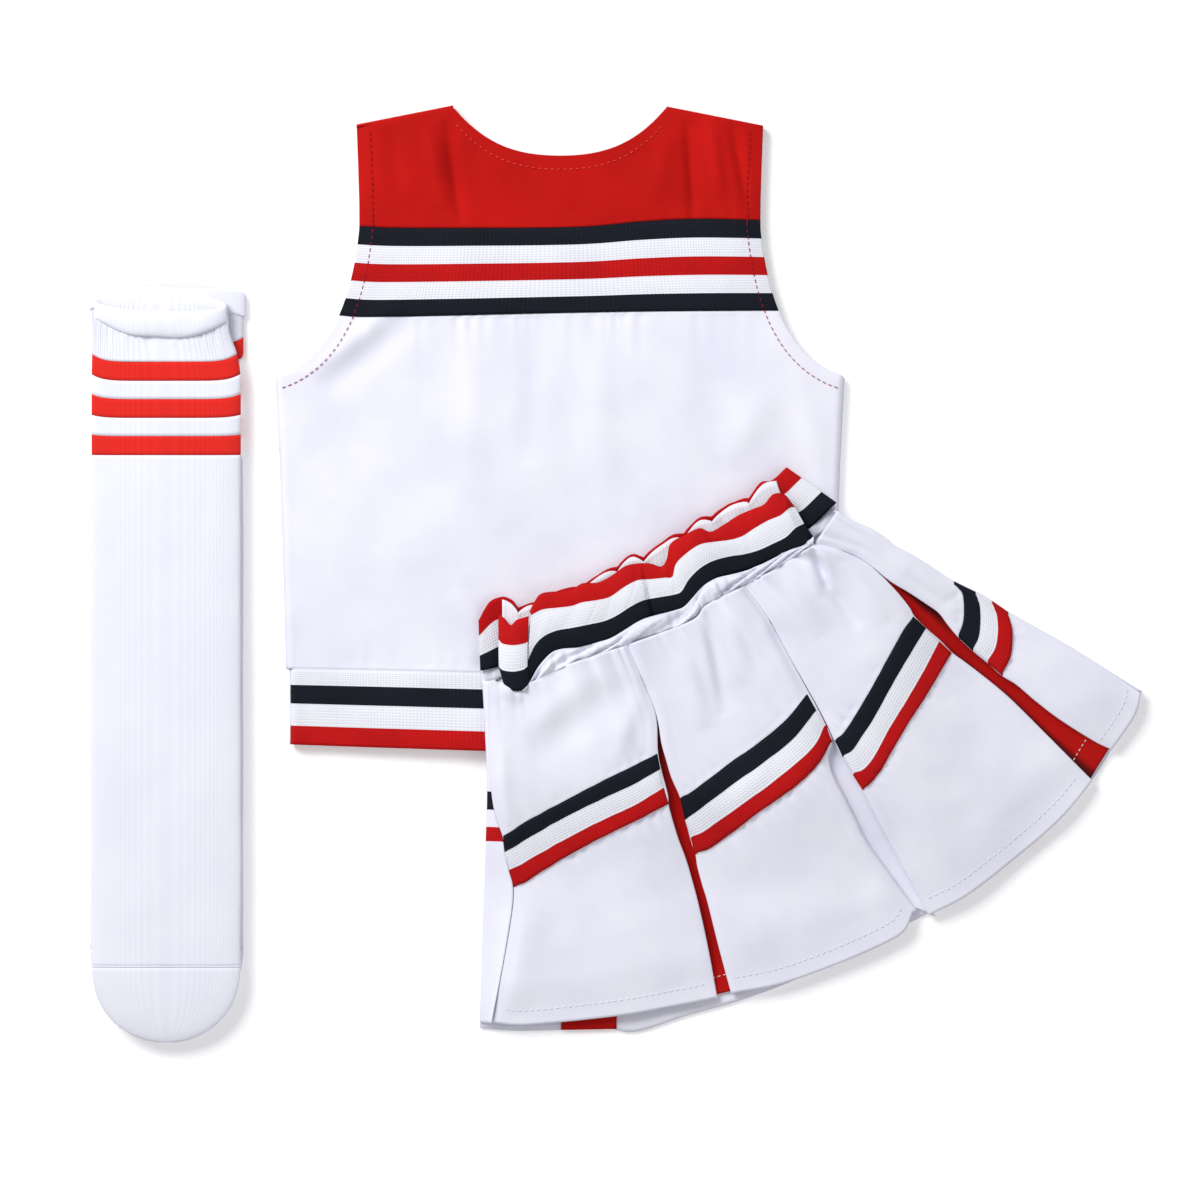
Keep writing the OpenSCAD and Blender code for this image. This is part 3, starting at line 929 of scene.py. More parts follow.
FOLD_3R = Line((109, 17), (122, 14), (136, 7.4), (145, 0), (150, -5), (155.5, -11), (161, -18),
               (163.5, -22.5), (170, -29), (177.5, -35.5), (184.5, -42.5), (190, -46.5),
               (200, -54), (210, -62), (220, -71), (240, -91), (262, -113))
FOLD_4L = Line((109, 17), (122, 14), (136, 7.4), (150, -3.5), (160, -9.5), (170, -16), (177, -21),
               (182, -27.5), (188, -34.5), (196, -42), (204, -48.5), (212, -55.5), (220, -60.5),
               (230, -69), (243, -79), (262, -91), (272.5, -96))
FOLD_4R = Line((121, 35), (128, 30.5), (140, 25.5), (149, 19.5), (153, 16), (161, 12), (171, 6),
               (180, 0), (186, -3.5), (192, -6), (200, -10), (208, -15), (216, -20.5), (235, -31),
               (254, -42), (289, -64))
SEAM_1 = Line((-69.5, -58), (-60, -59), (-52, -60), (-44, -57.5), (-32, -51), (6.5, -38.2))
SEAM_2 = Line((6.5, -38.2), (41, -25), (50, -16), (70.5, -5.8))
SEAM_3 = Line((70.5, -5.8), (90, 5), (109, 17))
SEAM_4 = Line((109, 17), (114, 25), (121, 35))
HEM_1 = Line((-68, -246), (-50, -247), (0, -242), (30, -237), (56, -232))
HEM_2 = Line((63.5, -230), (92, -224), (125, -212), (150, -201), (161, -194), (166, -184))
HEM_3 = Line((172, -187), (194, -175), (226, -150), (246, -132), (262, -113))
HEM_4 = Line((272.5, -96), (285, -77), (289, -64))
# The edges of the three stripes of each front trim, from the left fold to the right one
TRIM_1 = [
    Line((-61.7, -143), (-50, -135.5), (-30, -124.5), (-10, -114), (10, -104), (23, -97.5)),
    Line((-60.8, -152), (-50, -145.5), (-30, -133.8), (-10, -123.8), (10, -114.3), (24.7, -106)),
    Line((-58.5, -162), (-50, -157.5), (-30, -146), (-10, -135.5), (10, -126), (26.8, -116)),
    Line((-56.2, -171.5), (-50, -168.5), (-30, -156), (-10, -145), (10, -135), (29.2, -125)),
]
TRIM_2 = [
    Line((35.3, -122), (41, -119), (60, -104.5), (80, -90), (94, -78), (105, -65)),
    Line((38, -134), (44, -129.8), (60, -117.5), (80, -103), (97, -89.5), (110, -74)),
    Line((41, -144), (47, -141.4), (60, -132), (80, -117.5), (100, -101.5), (110, -91.5),
         (115, -82)),
    Line((43.7, -153), (50, -151), (60, -144), (80, -128.5), (100, -114), (112, -102),
         (118.5, -91)),
]
TRIM_3 = [
    Line((119.7, -91), (124, -87), (130, -78), (140, -61), (150, -43), (158, -29), (163, -22.5)),
    Line((124, -100), (129, -96.5), (134, -89), (140, -80), (150, -62), (160, -45), (170, -29)),
    Line((129.6, -109.5), (135, -107), (141, -99.5), (150, -83), (160, -67), (170, -50),
         (177.5, -36)),
    Line((135, -118), (139, -114.5), (145, -107), (150, -98), (160, -81), (170, -66),
         (184.3, -42.5)),
]
TRIM_4 = [
    Line((188, -34.5), (190.3, -27), (190.8, -18), (189.8, -9), (185.5, -3.3)),
    Line((196, -42), (199, -35), (200, -25), (199.6, -15.5), (197.5, -9)),
    Line((204, -48.5), (208, -41), (209.5, -31), (209, -21), (206.5, -14)),
    Line((212, -55.5), (216.3, -46), (217.6, -35), (217.2, -27), (215.3, -20)),
]
# Fold lines of the back pleats
FOLD_5L = Line((-73, -53), (-71, -90), (-70, -118), (-71, -145), (-73, -200), (-74.5, -249))
FOLD_5R = Line((-4, -25), (-8, -90), (-20, -180), (-27, -250))
FOLD_6L = Line((-3, -24.6), (0, -90), (0, -180), (-2.5, -249.5))
FOLD_6R = Line((56, 2), (70, -60), (95, -140), (128, -207))
FOLD_7L = Line((57, 2.5), (72, -60), (100, -140), (138, -203))
FOLD_7R = Line((92, 18), (130, -30), (180, -90), (226, -148))
FOLD_8L = Line((93, 18.5), (133, -27), (186, -84), (234, -142))
FOLD_8R = FOLD_4R
HEM_5 = Line((-74.5, -249), (-55, -250.5), (-27, -250))
HEM_6 = Line((-2.5, -249.5), (12, -251), (40, -242), (68, -234), (100, -222), (128, -207))
HEM_7 = Line((138, -203), (182, -180), (226, -148))
HEM_8 = Line((234, -142), (264, -110), (289, -64))

# Each front pleat: its fold lines, waist seam, hem and trim. Then, for its left and right fold, the
# row where it starts to open, and how much rounder it is below the trim than above.
PLEATS = [
    ("1", FOLD_1L, FOLD_1R, SEAM_1, HEM_1, TRIM_1, ((-1, 1.0), (0.08, 0.3))),
    ("2", FOLD_2L, FOLD_2R, SEAM_2, HEM_2, TRIM_2, ((0.08, 0.3), (0.1, 2.2))),
    ("3", FOLD_3L, FOLD_3R, SEAM_3, HEM_3, TRIM_3, ((0.1, 0), (0.06, 0.3))),
    ("4", FOLD_4L, FOLD_4R, SEAM_4, HEM_4, TRIM_4, ((0.06, 0.3), (-1, 0.4))),
]
BACK_PLEATS = [
    ("1", FOLD_5L, FOLD_5R, HEM_5, ((-70, -118), (-71, -146)), (0.4, 0.54)),
    ("2", FOLD_6L, FOLD_6R, HEM_6, (0.4, 0.54), (0.42, 0.56)),
    ("3", FOLD_7L, FOLD_7R, HEM_7, (0.42, 0.56), (0.42, 0.56)),
    ("4", FOLD_8L, FOLD_8R, HEM_8, (0.42, 0.56), (0.46, 0.61)),
]
SKIRT_SHAPES = [
    drift(55, 1.8, 9.2), drift(20, 0.6, 2.6),
    # Creases that start in the gathers, the dart, and soft waves lower down
    *folds(
        0,
        (36, -26, 48, -84, 2.2, 6), (60, -8, 70, -60, 1.6, 6), (-45, -104, 8, -58, -1.9, 10),
        (-52, -88, -10, -52, 1.6, 8), (-2, -104, 14, -62, 1.6, 6), (80, -24, 104, -66, 1.2, 6),
        (105.5, 20, 116.5, -8, -3.4, 1.7), (101, 18, 112, -12, 1.7, 3.2),
        (110.5, 18, 121, -12, 0.9, 3.0), (114, -3, 134, -30, -2.2, 2.8),
        (126, 8, 148, -26, 1.8, 6), (92, 2, 112, -34, 1.2, 6), (44, -16, 56, -76, 1.7, 3.4),
        (48.5, -18, 61, -78, -1.7, 3.2), (-64, -80, -58, -150, 1.2, 5),
        (-44, -180, -56, -240, 1.0, 9), (10, -150, 30, -225, 0.9, 12),
        (90, -120, 130, -190, 1.1, 14), (180, -70, 220, -130, 1.0, 14),
        (150, 14, 182, -12, 1.3, 5), (158, 2, 182, -20, -1.0, 4), (-66, -60, -50, -68, 2.0, 4),
        (86, -100, 60, -130, 0.8, 6),
    ),
]
# The radius at which a panel turns under at its folds, how far it goes on, and its hem's depth
TURN_R = 0.85
TUCK = 6.0
HEM_FOLD = 8.5


def across_steps(width):
    """Steps across a pleat: millimetres past the left fold, as values below 0, then 0 to 1, then
    millimetres past the right fold, as values above 1."""
    past = [TUCK, 4.2, 2.7, 2.1, 1.5, 1.0, 0.5]
    return [-d for d in past] + edge_dense(cells(width)) + [1 + d for d in past[::-1]]


def pleat_place(point, row_of, shapes, seam, opens, lift=0.0):
    """Places cloth on a pleat: a soft panel between two pressed folds, where the cloth turns under.
    point(u, v) is its place on the layout, and row_of(u, v) how far down the panel that is. Above
    the rows in opens, the cloth runs on into the next pleat."""

    def place(u, v):
        inside = min(1.0, max(0.0, u))
        p, row = point(inside, v), row_of(inside, v)
        ahead = point(1, v) - point(0, v)
        width = ahead.length
        ahead.normalize()
        below = smooth((row - 0.5) / 0.12)
        radii = [(TURN_R + lift + rounder * below) * smooth((row - start) / 0.07)
                 for start, rounder in opens]
        p = p + ahead * (radii[0] * (1 - inside) - radii[1] * inside)
        edge = width * min(inside, 1 - inside)
        open_here = min(1.0, radii[0 if inside < 0.5 else 1] / (TURN_R + lift))
        z = face_z(p) + PANEL_H + lift + total(shapes, p) * smooth(edge / 7)
        z -= 1.4 * math.exp(-edge / 4.5) * smooth(row / 0.12) * open_here
        z -= 2.2 * smooth((row - 0.86) / 0.14)
        # The gathers run down from the waist seam
        down = row * 190
        if down < 80:
            along = inside * seam.length() + 40 * seam(0).x
            bulge = creased(along, 9.0, 1.7) * math.exp(-down / 11)
            bulge += 0.9 * creased(along, 17.0, 5.2) * math.exp(-down / 26)
            z += (3.0 * bulge - 1.8 * math.exp(-down / 11)) * smooth(edge / 4)
        past = -u if u < 0 else max(0.0, u - 1)
        if past:
            radius = max(0.1, radii[0 if u < 0 else 1])
            angle = min(math.pi, past / radius)
            rest = max(0.0, past - math.pi * radius)
            p = p + ahead * (radius * math.sin(angle) - rest) * (-1 if u < 0 else 1)
            z -= radius * (1 - math.cos(angle)) + 1.8 * (1 - open_here) * smooth(past)
        return p.x, p.y, z

    return place


def trim_puckers(trim):
    """Small puckers above and below a trim."""
    shapes = []
    for line, below in ((trim[0], False), (trim[-1], True)):
        for a, b in ((0.0, 0.34), (0.33, 0.67), (0.66, 1.0)):
            start, end = line(a), line(b)
            depth = 2.3 if below else 1.5
            shapes.append(puckers(start, end, 8.0, depth, 3.8, below))
    return shapes


class UNIFORM_OT_front_pleats(bpy.types.Operator):
    """The four front panels, with their striped trims and hem stitches"""

    bl_idname = "uniform.front_pleats"
    bl_label = "Front pleats"

    def execute(self, context):
        ply = sizes().ply / MM
        hems = []
        for name, left, right, seam, hem, trim, opens in PLEATS:
            shape = patch(seam, hem, left, right)
            shapes = SKIRT_SHAPES + trim_puckers(trim)
            width = (seam.length() + hem.length()) / 2
            down = (left.length() + right.length()) / 2
            place = pleat_place(shape, lambda u, v: v, shapes, seam, opens)
            cloth(f"front_panel_{name}_cloth", across_steps(width), steps(cells(down)), place,
                  "skirt", "skirt", f"front_panel_{name}", "white_twill", ply,
                  size=(hem.length() + 2 * TUCK, down),
                  rests_on="front_body_cloth")
            self.trim(name, left, right, trim, shapes, seam, opens)
            row = 1 - HEM_FOLD / down
            hems.append([Vector(place(u, row)) + Vector((0, 0, 0.2))
                         for u in steps(60, 0.03, 0.97)])
        stitches("hem_stitches", hems, "hem thread", "skirt", None, "white_twill",
                 dash=2.4, gap=1.1, radius=0.24)
        return {"FINISHED"}

    def trim(self, name, left, right, trim, shapes, seam, opens):
        """A striped braid sewn at a slant across the panel, and turned round both folds."""
        l0, l1 = left.share_at(trim[0](0)), left.share_at(trim[-1](0))
        r0, r1 = right.share_at(trim[0](1)), right.share_at(trim[-1](1))
        rows, which, crown, mats = band_rows(TRIM_STRIPES)

        def row_of(u, v):
            return (l0 + (l1 - l0) * v) * (1 - u) + (r0 + (r1 - r0) * v) * u

        lines = layers(trim)

        def wavy(u, v):
            uneven = noise.noise(Vector((u * 15, float(name), 2.5)))
            return lines(u, v) + Vector((0.1, 0.35)) * uneven

        flat = pleat_place(wavy, row_of, shapes, seam, opens, 0.8)

        def place(u, v):
            x, y, z = flat(u, v)
            return x, y, z + crown(u, v) * (1 if 0 <= u <= 1 else 0)

        length = (trim[0].length() + trim[-1].length()) / 2
        cloth(f"front_trim_{name}_braid", across_steps(length), rows, place, mats, "skirt",
              f"front_trim_{name}", "striped_braid", 0.5, which, (length + 2 * TUCK, 31),
              rests_on=f"front_panel_{name}_cloth")


class UNIFORM_OT_back_pleats(bpy.types.Operator):
    """The four back panels, with their striped trims underneath"""

    bl_idname = "uniform.back_pleats"
    bl_label = "Back pleats"

    def execute(self, context):
        ply = sizes().ply / MM
        for name, left, right, hem, on_left, on_right in BACK_PLEATS:
            head = Line(left(0), right(0))
            shape = patch(head, hem, left, right)

            def place(u, v, shape=shape):
                return self.under(shape(u, v), 0.0)

            width, down = hem.length(), (left.length() + right.length()) / 2
            cloth(f"back_panel_{name}_cloth", steps(cells(width * 0.6)), steps(cells(down * 0.6)),
                  place, "skirt", "skirt", f"back_panel_{name}", "white_twill", ply,
                  size=(width, down), rests_on="front_body_cloth")
            self.trim(name, shape, left, right, on_left, on_right)
        return {"FINISHED"}

    @staticmethod
    def under(p, drop):
        """A place on the skirt's back, lowered a little for what is sewn on its outside."""
        wavy = 0.3 * noise.noise(Vector((p.x / 30, p.y / 30, 5)))
        return p.x, p.y, face_z(p) + BACK_PANEL_H - drop + wavy

    def trim(self, name, shape, left, right, on_left, on_right):
        """The back panels show their outside, and so their trims, to the surface below."""
        l0, l1 = (left.share_at(p) if isinstance(p, tuple) else p for p in on_left)
        r0, r1 = (right.share_at(p) if isinstance(p, tuple) else p for p in on_right)
        rows, which, _, mats = band_rows(TRIM_STRIPES, 3)

        def place(u, v):
            start, end = l0 * (1 - u) + r0 * u, l1 * (1 - u) + r1 * u
            return self.under(shape(u, start + (end - start) * v), 0.75)

        length = (shape(0, l0) - shape(1, r0)).length
        cloth(f"back_trim_{name}_braid", steps(cells(length)), rows, place, mats, "skirt",
              f"back_trim_{name}", "striped_braid", 0.5, which, (length + 3, 29),
              rests_on=f"back_panel_{name}_cloth")


class UNIFORM_OT_inserts(bpy.types.Operator):
    """Red inserts between the pleats, side inserts, and the stitches of their hems"""

    bl_idname = "uniform.inserts"
    bl_label = "Pleat inserts"

    def execute(self, context):
        self.front("1", FOLD_1R, FOLD_2L, 0.2, 1.0, self.painted_shade_middle)
        self.front("2", FOLD_2R, FOLD_3L, 0.405, 0.44, None)
        self.front("3", FOLD_3R, FOLD_4L, 0.1, 1.0, self.painted_shade_side)
        for name, left, right in (("1", FOLD_5R, FOLD_6L), ("2", FOLD_6R, FOLD_7L),
                                  ("3", FOLD_7R, FOLD_8L)):
            self.back(name, left, right)
        self.side("left", FOLD_1L, FOLD_5L)
        self.side("right", FOLD_4R, FOLD_8R)
        self.hem_stitches()
        return {"FINISHED"}

    @staticmethod
    def between(left, right, row, u, tuck):
        """A point of an insert that is tucked under the folds at both its sides, and their gap."""
        a, b = left(row), right(row)
        gap = (b - a).length
        out = (b - a).normalized() if gap > 0.3 else Vector((1, 0))
        return (a - out * tuck).lerp(b + out * tuck, u), gap

    @staticmethod
    def height(p, u, gap):
        """An insert sinks in a valley between the two panels, deeper where they stand apart."""
        valley = 2.2 * math.sin(math.pi * u) * min(1.0, gap / 5)
        return face_z(p) + INSERT_H - 2.5 - valley

    @staticmethod
    def painted_shade_middle(u, v):
        """Painted shade for a narrow insert, which lies deep: darkest at its head, and along its
        left side.
        """
        head, left = 1 - smooth((v - 0.25) / 0.25), smooth((0.45 - u) / 0.2)
        return 0.1 + 0.6 * head + 0.4 * left * (1 - v)

    @staticmethod
    def painted_shade_side(u, v):
        """Painted shade for a wide insert: darkest at its head, along its right side above the
        middle, and its left side below.
        """
        upper = smooth((u - 0.5) / 0.2) * smooth((v - 0.16) / 0.08) * smooth((0.5 - v) / 0.12)
        lower = smooth((0.42 - u) / 0.2) * smooth((v - 0.42) / 0.12)
        head = 0.7 * smooth((0.2 - v) / 0.08) * smooth((0.6 - u) / 0.3)
        return 0.12 + 0.8 * max(upper, lower, head)

    def front(self, name, left, right, red_from, red_to, painted_shade):
        """An insert tucks under both panels. It is red between two shares of its length."""

        def place(u, v):
            # The hem of the insert ends just inside those of the panels
            p, gap = self.between(left, right, v * 0.992, u, FRONT_TUCK)
            return p.x, p.y, self.height(p, u, gap)

        down = left.length()
        width = (right(1) - left(1)).length + 2 * FRONT_TUCK
        # The insert's red is darkened with painted shade, point by point, where the pleat's own
        # shade would fall.
        cloth(f"front_insert_{name}_cloth", steps(14), steps(cells(down)), place,
              "pleat red, skirt", "skirt", f"front_insert_{name}", "red_twill",
              0.5, lambda u, v: 0 if red_from < v < red_to else 1, (width, down),
              rests_on="front_body_cloth", painted_shade=painted_shade)

    def back(self, name, left, right):
        def place(u, v):
            p, _ = self.between(left, right, v, u, BACK_TUCK)
            return p.x, p.y, face_z(p) + BACK_INSERT_H

        down = left.length()
        width = (right(1) - left(1)).length + 2 * BACK_TUCK
        cloth(f"back_insert_{name}_cloth", steps(16), steps(70), place, "red", "skirt",
              f"back_insert_{name}", "red_twill", 0.4, size=(width, down),
              rests_on=f"back_panel_{name}_cloth")

    def side(self, word, front, back):
        """Joins the front to the back along the side: a strip of cloth that bends between them. The
        left one carries the end of the back panel's trim."""
        toward = 1 if word == "left" else -1
        high, low = front(0).y, front(1).y
        marks = [high, -118.5, -128.5, -138, -146, low] if word == "left" else [high, low]
        kinds = [0, 1, 0, 2, 0]
        rows = [high]
        for a, b in zip(marks, marks[1:]):
            rows += steps(max(4, round((a - b) / 2)), a, b)[1:]

        def kind(_, y):
            return next(kinds[k] for k in range(len(marks) - 1) if y >= marks[k + 1])

        def place(u, y):
            a, b = front(front.share_at_height(y)), back(back.share_at_height(y))
            p = a.lerp(b, u)
            inward = 1.6 * math.sin(math.pi * u) * toward
            z = face_z(p) + PANEL_H - 1.8 + (BACK_PANEL_H + 0.6 - PANEL_H + 1.8) * u
            return p.x + inward, p.y, z

        cloth(f"{word}_side_insert_cloth", steps(10), rows, place,
              "skirt, navy, braid red", "skirt",
              f"{word}_side_insert", "white_twill", 0.5, kind, (11, front.length()),
              rests_on="back_panel_1_cloth" if word == "left" else "back_panel_4_cloth")

    def hem_stitches(self):
        """White stitches across each insert, just above its hem."""
        paths = []
        for left, right, row in ((FOLD_1R, FOLD_2L, 0.945), (FOLD_3R, FOLD_4L, 0.925)):
            path = []
            for t in steps(10, 0.2, 0.8):
                p, gap = self.between(left, right, row, t, FRONT_TUCK)
                path.append(Vector((p.x, p.y, self.height(p, t, gap) + 0.25)))
            paths.append(path)
        stitches("insert_hem_stitches", paths, "white thread", "skirt", None,
                 "white_twill", dash=2.2, gap=0.9, radius=0.3)


# Edges of the waistband's stripes at the front, from the left end to the right
BAND_RED_TOP = Line((-47, -20), (-44, -14), (-40, -10), (-30, -8.8), (-24, -8), (-18, -4.6),
                    (-10, -4.2), (-3, -1), (5, 4.6), (12, 6.2), (19, 6.2), (25, 4.6), (28, 9),
                    (30, 17), (38, 22), (46, 25.5), (52, 23.6), (60, 28), (67, 32.5), (75, 36),
                    (81, 38.5), (86, 44), (92, 44), (97, 38.5))
BAND_RED_LOW = Line((-46, -22), (-40, -19), (-32, -18), (-24, -17), (-18, -15), (-10, -13.8),
                    (-3, -12), (5, -6.5), (12, -3), (19, -2.4), (27, -1.6), (31, -1), (33, 6),
                    (39, 12), (46, 16.5), (54, 18), (62, 19), (69, 21), (76, 25.5), (83, 29.5),
                    (90, 32.5), (95, 36.5), (98, 37))
BAND_NAVY_TOP = Line((-48, -47), (-44, -38.5), (-39, -33.5), (-32, -30.4), (-24, -29), (-14, -27),
                     (-6, -25.2), (1, -22), (8, -17.5), (15, -14), (23, -12.4), (32, -10.8),
                     (36, -9), (40, -2.5), (46, 3.5), (53, 7.5), (62, 10), (70, 11.2), (78, 13.4),
                     (86, 17), (93, 20.6), (98, 25.4), (103, 28))
BAND_NAVY_LOW = Line((-49, -62), (-46, -57), (-42, -50), (-36, -43.4), (-30, -40.6), (-20, -39.4),
                     (-10, -37), (-2, -34.2), (6, -29.4), (14, -24.6), (22, -22), (31, -19.8),
                     (37, -17.6), (42, -12.6), (48, -6), (55, -1.8), (63, 0.2), (72, 2.6), (80, 6),
                     (88, 10), (96, 14), (103, 16.4), (108, 21))


def scallops(x):
    """The gathered top edge of the back of the band: round humps with sharp dips between them."""
    uneven = 0.45 * noise.noise(Vector((x / 24, 3.1, 0.2)))
    return abs(math.sin(math.pi * (x / 18.5 + uneven))) ** 0.8


def ripples(t, spacing_count, height, seed):
    """Small even gathers along the elastic."""
    uneven = noise.noise(Vector((t * 14, seed, 0.5)))
    return height * math.cos(2 * math.pi * spacing_count * t + 3.5 * uneven)


class UNIFORM_OT_waistband(bpy.types.Operator):
    """The striped elastic waistband, its folded ends, and the gathers below it"""

    bl_idname = "uniform.waistband"
    bl_label = "Waistband"

    def execute(self, context):
        self.front()
        self.left_loop()
        self.back()
        self.lining()
        self.gathers()
        return {"FINISHED"}

    def front(self):
        lines = layers([BAND_RED_TOP, BAND_RED_LOW, BAND_NAVY_TOP, BAND_NAVY_LOW])
        rows, which, crown, mats = band_rows(BAND_STRIPES, 6)
        seam = fold((14.6, 6), (23.2, -38), -2.6, 0.75)
        step = fold((29, 20), (30.5, -4), -1.5, 2.0)

        def place(u, v):
            p = lines(u, v)
            wide = 1.8 * noise.noise(Vector((u * 9, 0.3, 2.2)))
            wide += 0.22 * creased(u * 200, 9.0, 2.0 + v * 0.5)
            rounded = 2.2 * (1 - abs(2 * v - 1) ** 2.2)
            end = 3.0 * smooth((u - 0.965) / 0.035)
            z = face_z(p) + BAND_H + wide + rounded + 1.2 * crown(u, v) - end + seam(p) + step(p)
            return p.x, p.y, z

        cloth("front_waistband_braid", steps(260), rows, place, mats, "skirt", "front_waistband",
              "striped_braid", 1.0, which, (190, 35),
              rests_on="waist_elastic_lining")

    def left_loop(self):
        """The band's left end bulges up in a loop before it turns under."""
        lines = layers([
            Line((-64, -21.5), (-60.5, -23.8), (-57.2, -27.4), (-54, -24.6), (-49, -23),
                 (-47.4, -22.4)),
            Line((-64, -35), (-61.5, -37.6), (-55.5, -38.4), (-50, -37.5), (-47.8, -36.5)),
            Line((-63.8, -50), (-61.5, -52), (-56, -52.8), (-50.6, -51.8), (-48, -50)),
            Line((-62.5, -55), (-60.5, -60.5), (-55.5, -63.4), (-50, -62.6), (-47, -58.5)),
        ])
        rows, which, crown, mats = band_rows(BAND_STRIPES, 6)

        def place(u, v):
            p = lines(u, v)
            bulge = 3.4 * math.sin(math.pi * min(1.0, 0.02 + u * 0.86)) ** 0.7
            rounded = 1.6 * (1 - abs(2 * v - 1) ** 2)
            return p.x, p.y, face_z(p) + BAND_H + bulge + rounded + 1.2 * crown(u, v) - 0.6

        cloth("waistband_left_loop", steps(24), rows, place, mats, "skirt", None,
              "striped_braid", 0.9, which, (20, 35),
              rests_on="front_waistband_braid")

    def back(self):
        """The back of the band shows past both ends of the front, and as a thin edge above it."""
        top = Line((-75, -25), (-69, -15), (-60, -14), (-50, -18), (-40, -14), (-20, -6),
                   (-10, -2), (0, 4.6), (8, 9), (15, 10.4), (24, 15), (31, 20.4), (38, 24),
                   (47, 30), (55, 34), (62, 37), (68, 39.4), (75, 44.6), (80, 49.6), (85, 51),
                   (93.5, 59))
        low = Line((-74, -52.5), (-63, -50), (-30, -40), (20, -14), (60, 6), (90, 22), (104, 24),
                   (121, 39.5))
        rows, which, crown, mats = band_rows(BACK_BAND_STRIPES)

        def place(u, v):
            p = top(u).lerp(low(u), v)
            tab = smooth((0.1 - u) / 0.1) + smooth((u - 0.88) / 0.1)
            scallop = (3.2 * scallops(p.x) - 1.5) * (1 - tab) * math.exp(-5 * v)
            rise = 3.2 * tab + 2.4 * math.exp(-9 * v) * (1 - tab)
            wavy = ripples(u, 22, 0.4, v) * (1 - tab)
            return p.x, p.y + scallop, face_z(p) + BACK_PANEL_H + rise + wavy + crown(u, v)

        cloth("back_waistband_braid", steps(170), rows, place, mats, "skirt", "back_waistband",
              "striped_braid", 0.9, which, (215, 36), rests_on="front_body_cloth")

    def lining(self):
        """The inner face of the back band: white elastic, gathered in small ribs."""
        top = Line((-62, -15), (-50, -19), (-40, -15), (-20, -7), (-10, -3), (0, 3.4), (8, 7.8),
                   (15, 9.2), (24, 13.6), (31, 19), (38, 22.6), (47, 28.6), (55, 32.6), (62, 35.8),
                   (68, 38.2), (75, 43), (81, 48), (88, 51))
        low = Line((-62, -47), (-30, -36), (20, -12), (60, 8), (98, 24))

        def place(u, v):
            p = top(u).lerp(low(u), v)
            scallop = (4.6 * scallops(p.x) - 3.0) * math.exp(-5 * v)
            folds = 1.1 * creased(u * 180, 15.0, 6.6)
            z = face_z(p) + BACK_PANEL_H + 3.0 + folds + 1.2 * math.exp(-v * 12)
            return p.x, p.y + scallop, z

        cloth("waist_elastic_lining", steps(200), steps(10), place, "elastic", "skirt",
              "waist_elastic", "elastic", 0.7, size=(180, 33),
              rests_on="back_waistband_braid")

    def gathers(self):
        """Tight gathers in the cloth where the band is sewn on, at the front and at the back."""
        low = Line((-63, -62.5), (-52, -64.5), (-45, -60), (-32, -52), (6, -38.4), (41, -25),
                   (50, -16), (70, -5.8), (90, 5), (108, 16))
        top = BAND_NAVY_LOW

        def front(u, v):
            p = top(u).lerp(low(0.06 + 0.94 * u), v)
            along = u * 190 + 9 * v * (0.5 - u)
            folds = 2.6 * creased(along, 7.5, 4.4) + 3.0 * creased(along + 30 * v, 17.0, 9.4) - 2.6
            fade = smooth(0.12 + v * 2.2) * (1 - 0.75 * smooth((v - 0.65) / 0.35))
            return p.x, p.y, face_z(p) + BAND_H + 0.9 * (1 - v) + folds * fade

        cloth("front_gathers_cloth", steps(260), steps(10), front, "skirt", "skirt",
              "front_gathers", "white_twill", 0.5, size=(200, 14),
              rests_on="back_gathers_cloth")
        back_low = Line((-73, -54), (-4, -26), (57, 1.5), (93, 17.5), (121, 35))
        back_top = Line((-74, -50), (-30, -38), (20, -12), (60, 8), (104, 26), (120, 38))

        def back(u, v):
            p = back_top(u).lerp(back_low(u), v) - Vector((0, 7 * v))
            return p.x, p.y, face_z(p) + BACK_PANEL_H + 0.7 + ripples(u, 30, 0.35, 4.0)

        cloth("back_gathers_cloth", steps(120), steps(4), back, "skirt", "skirt",
              "back_gathers", "white_twill", 0.5, size=(220, 11),
              rests_on="front_body_cloth")


# ---- the socks ----

# Height of a stripe, from one stripe to the next, the knit's thickness, the flat lengths of toe
# and cuff, and the steps round a sock
STRIPE_H = 10.7
STRIPE_STEP = 20.9
SOCK_KNIT = 0.7
TOE_CUT = 41
CUFF_CUT = 58
AROUND = 150
# Shares of the cuff's rows: the ribbed part below the roll comes first
RIBBED = 0.3
# The turned-down cuff in section: how far below its lip, and how far out from the leg
CUFF_FOLD = Line((4.0, 0.0), (1.6, 0.15), (0.4, 0.6), (0.0, 1.3), (0.5, 2.1), (2.4, 2.9),
                 (5.5, 3.4), (9.0, 3.4), (11.6, 2.9), (13.0, 2.0), (13.1, 1.2), (11.9, 0.5),
                 (9.0, 0.4))


def sock_section(turn, half_w, half_h):
    """A point on the flattened round of the leg: square-shouldered, with a soft crown."""
    c, s = math.cos(turn), math.sin(turn)
    power = 2 / 3.4
    return (math.copysign(abs(c) ** power, c) * half_w, math.copysign(abs(s) ** power, s) * half_h)


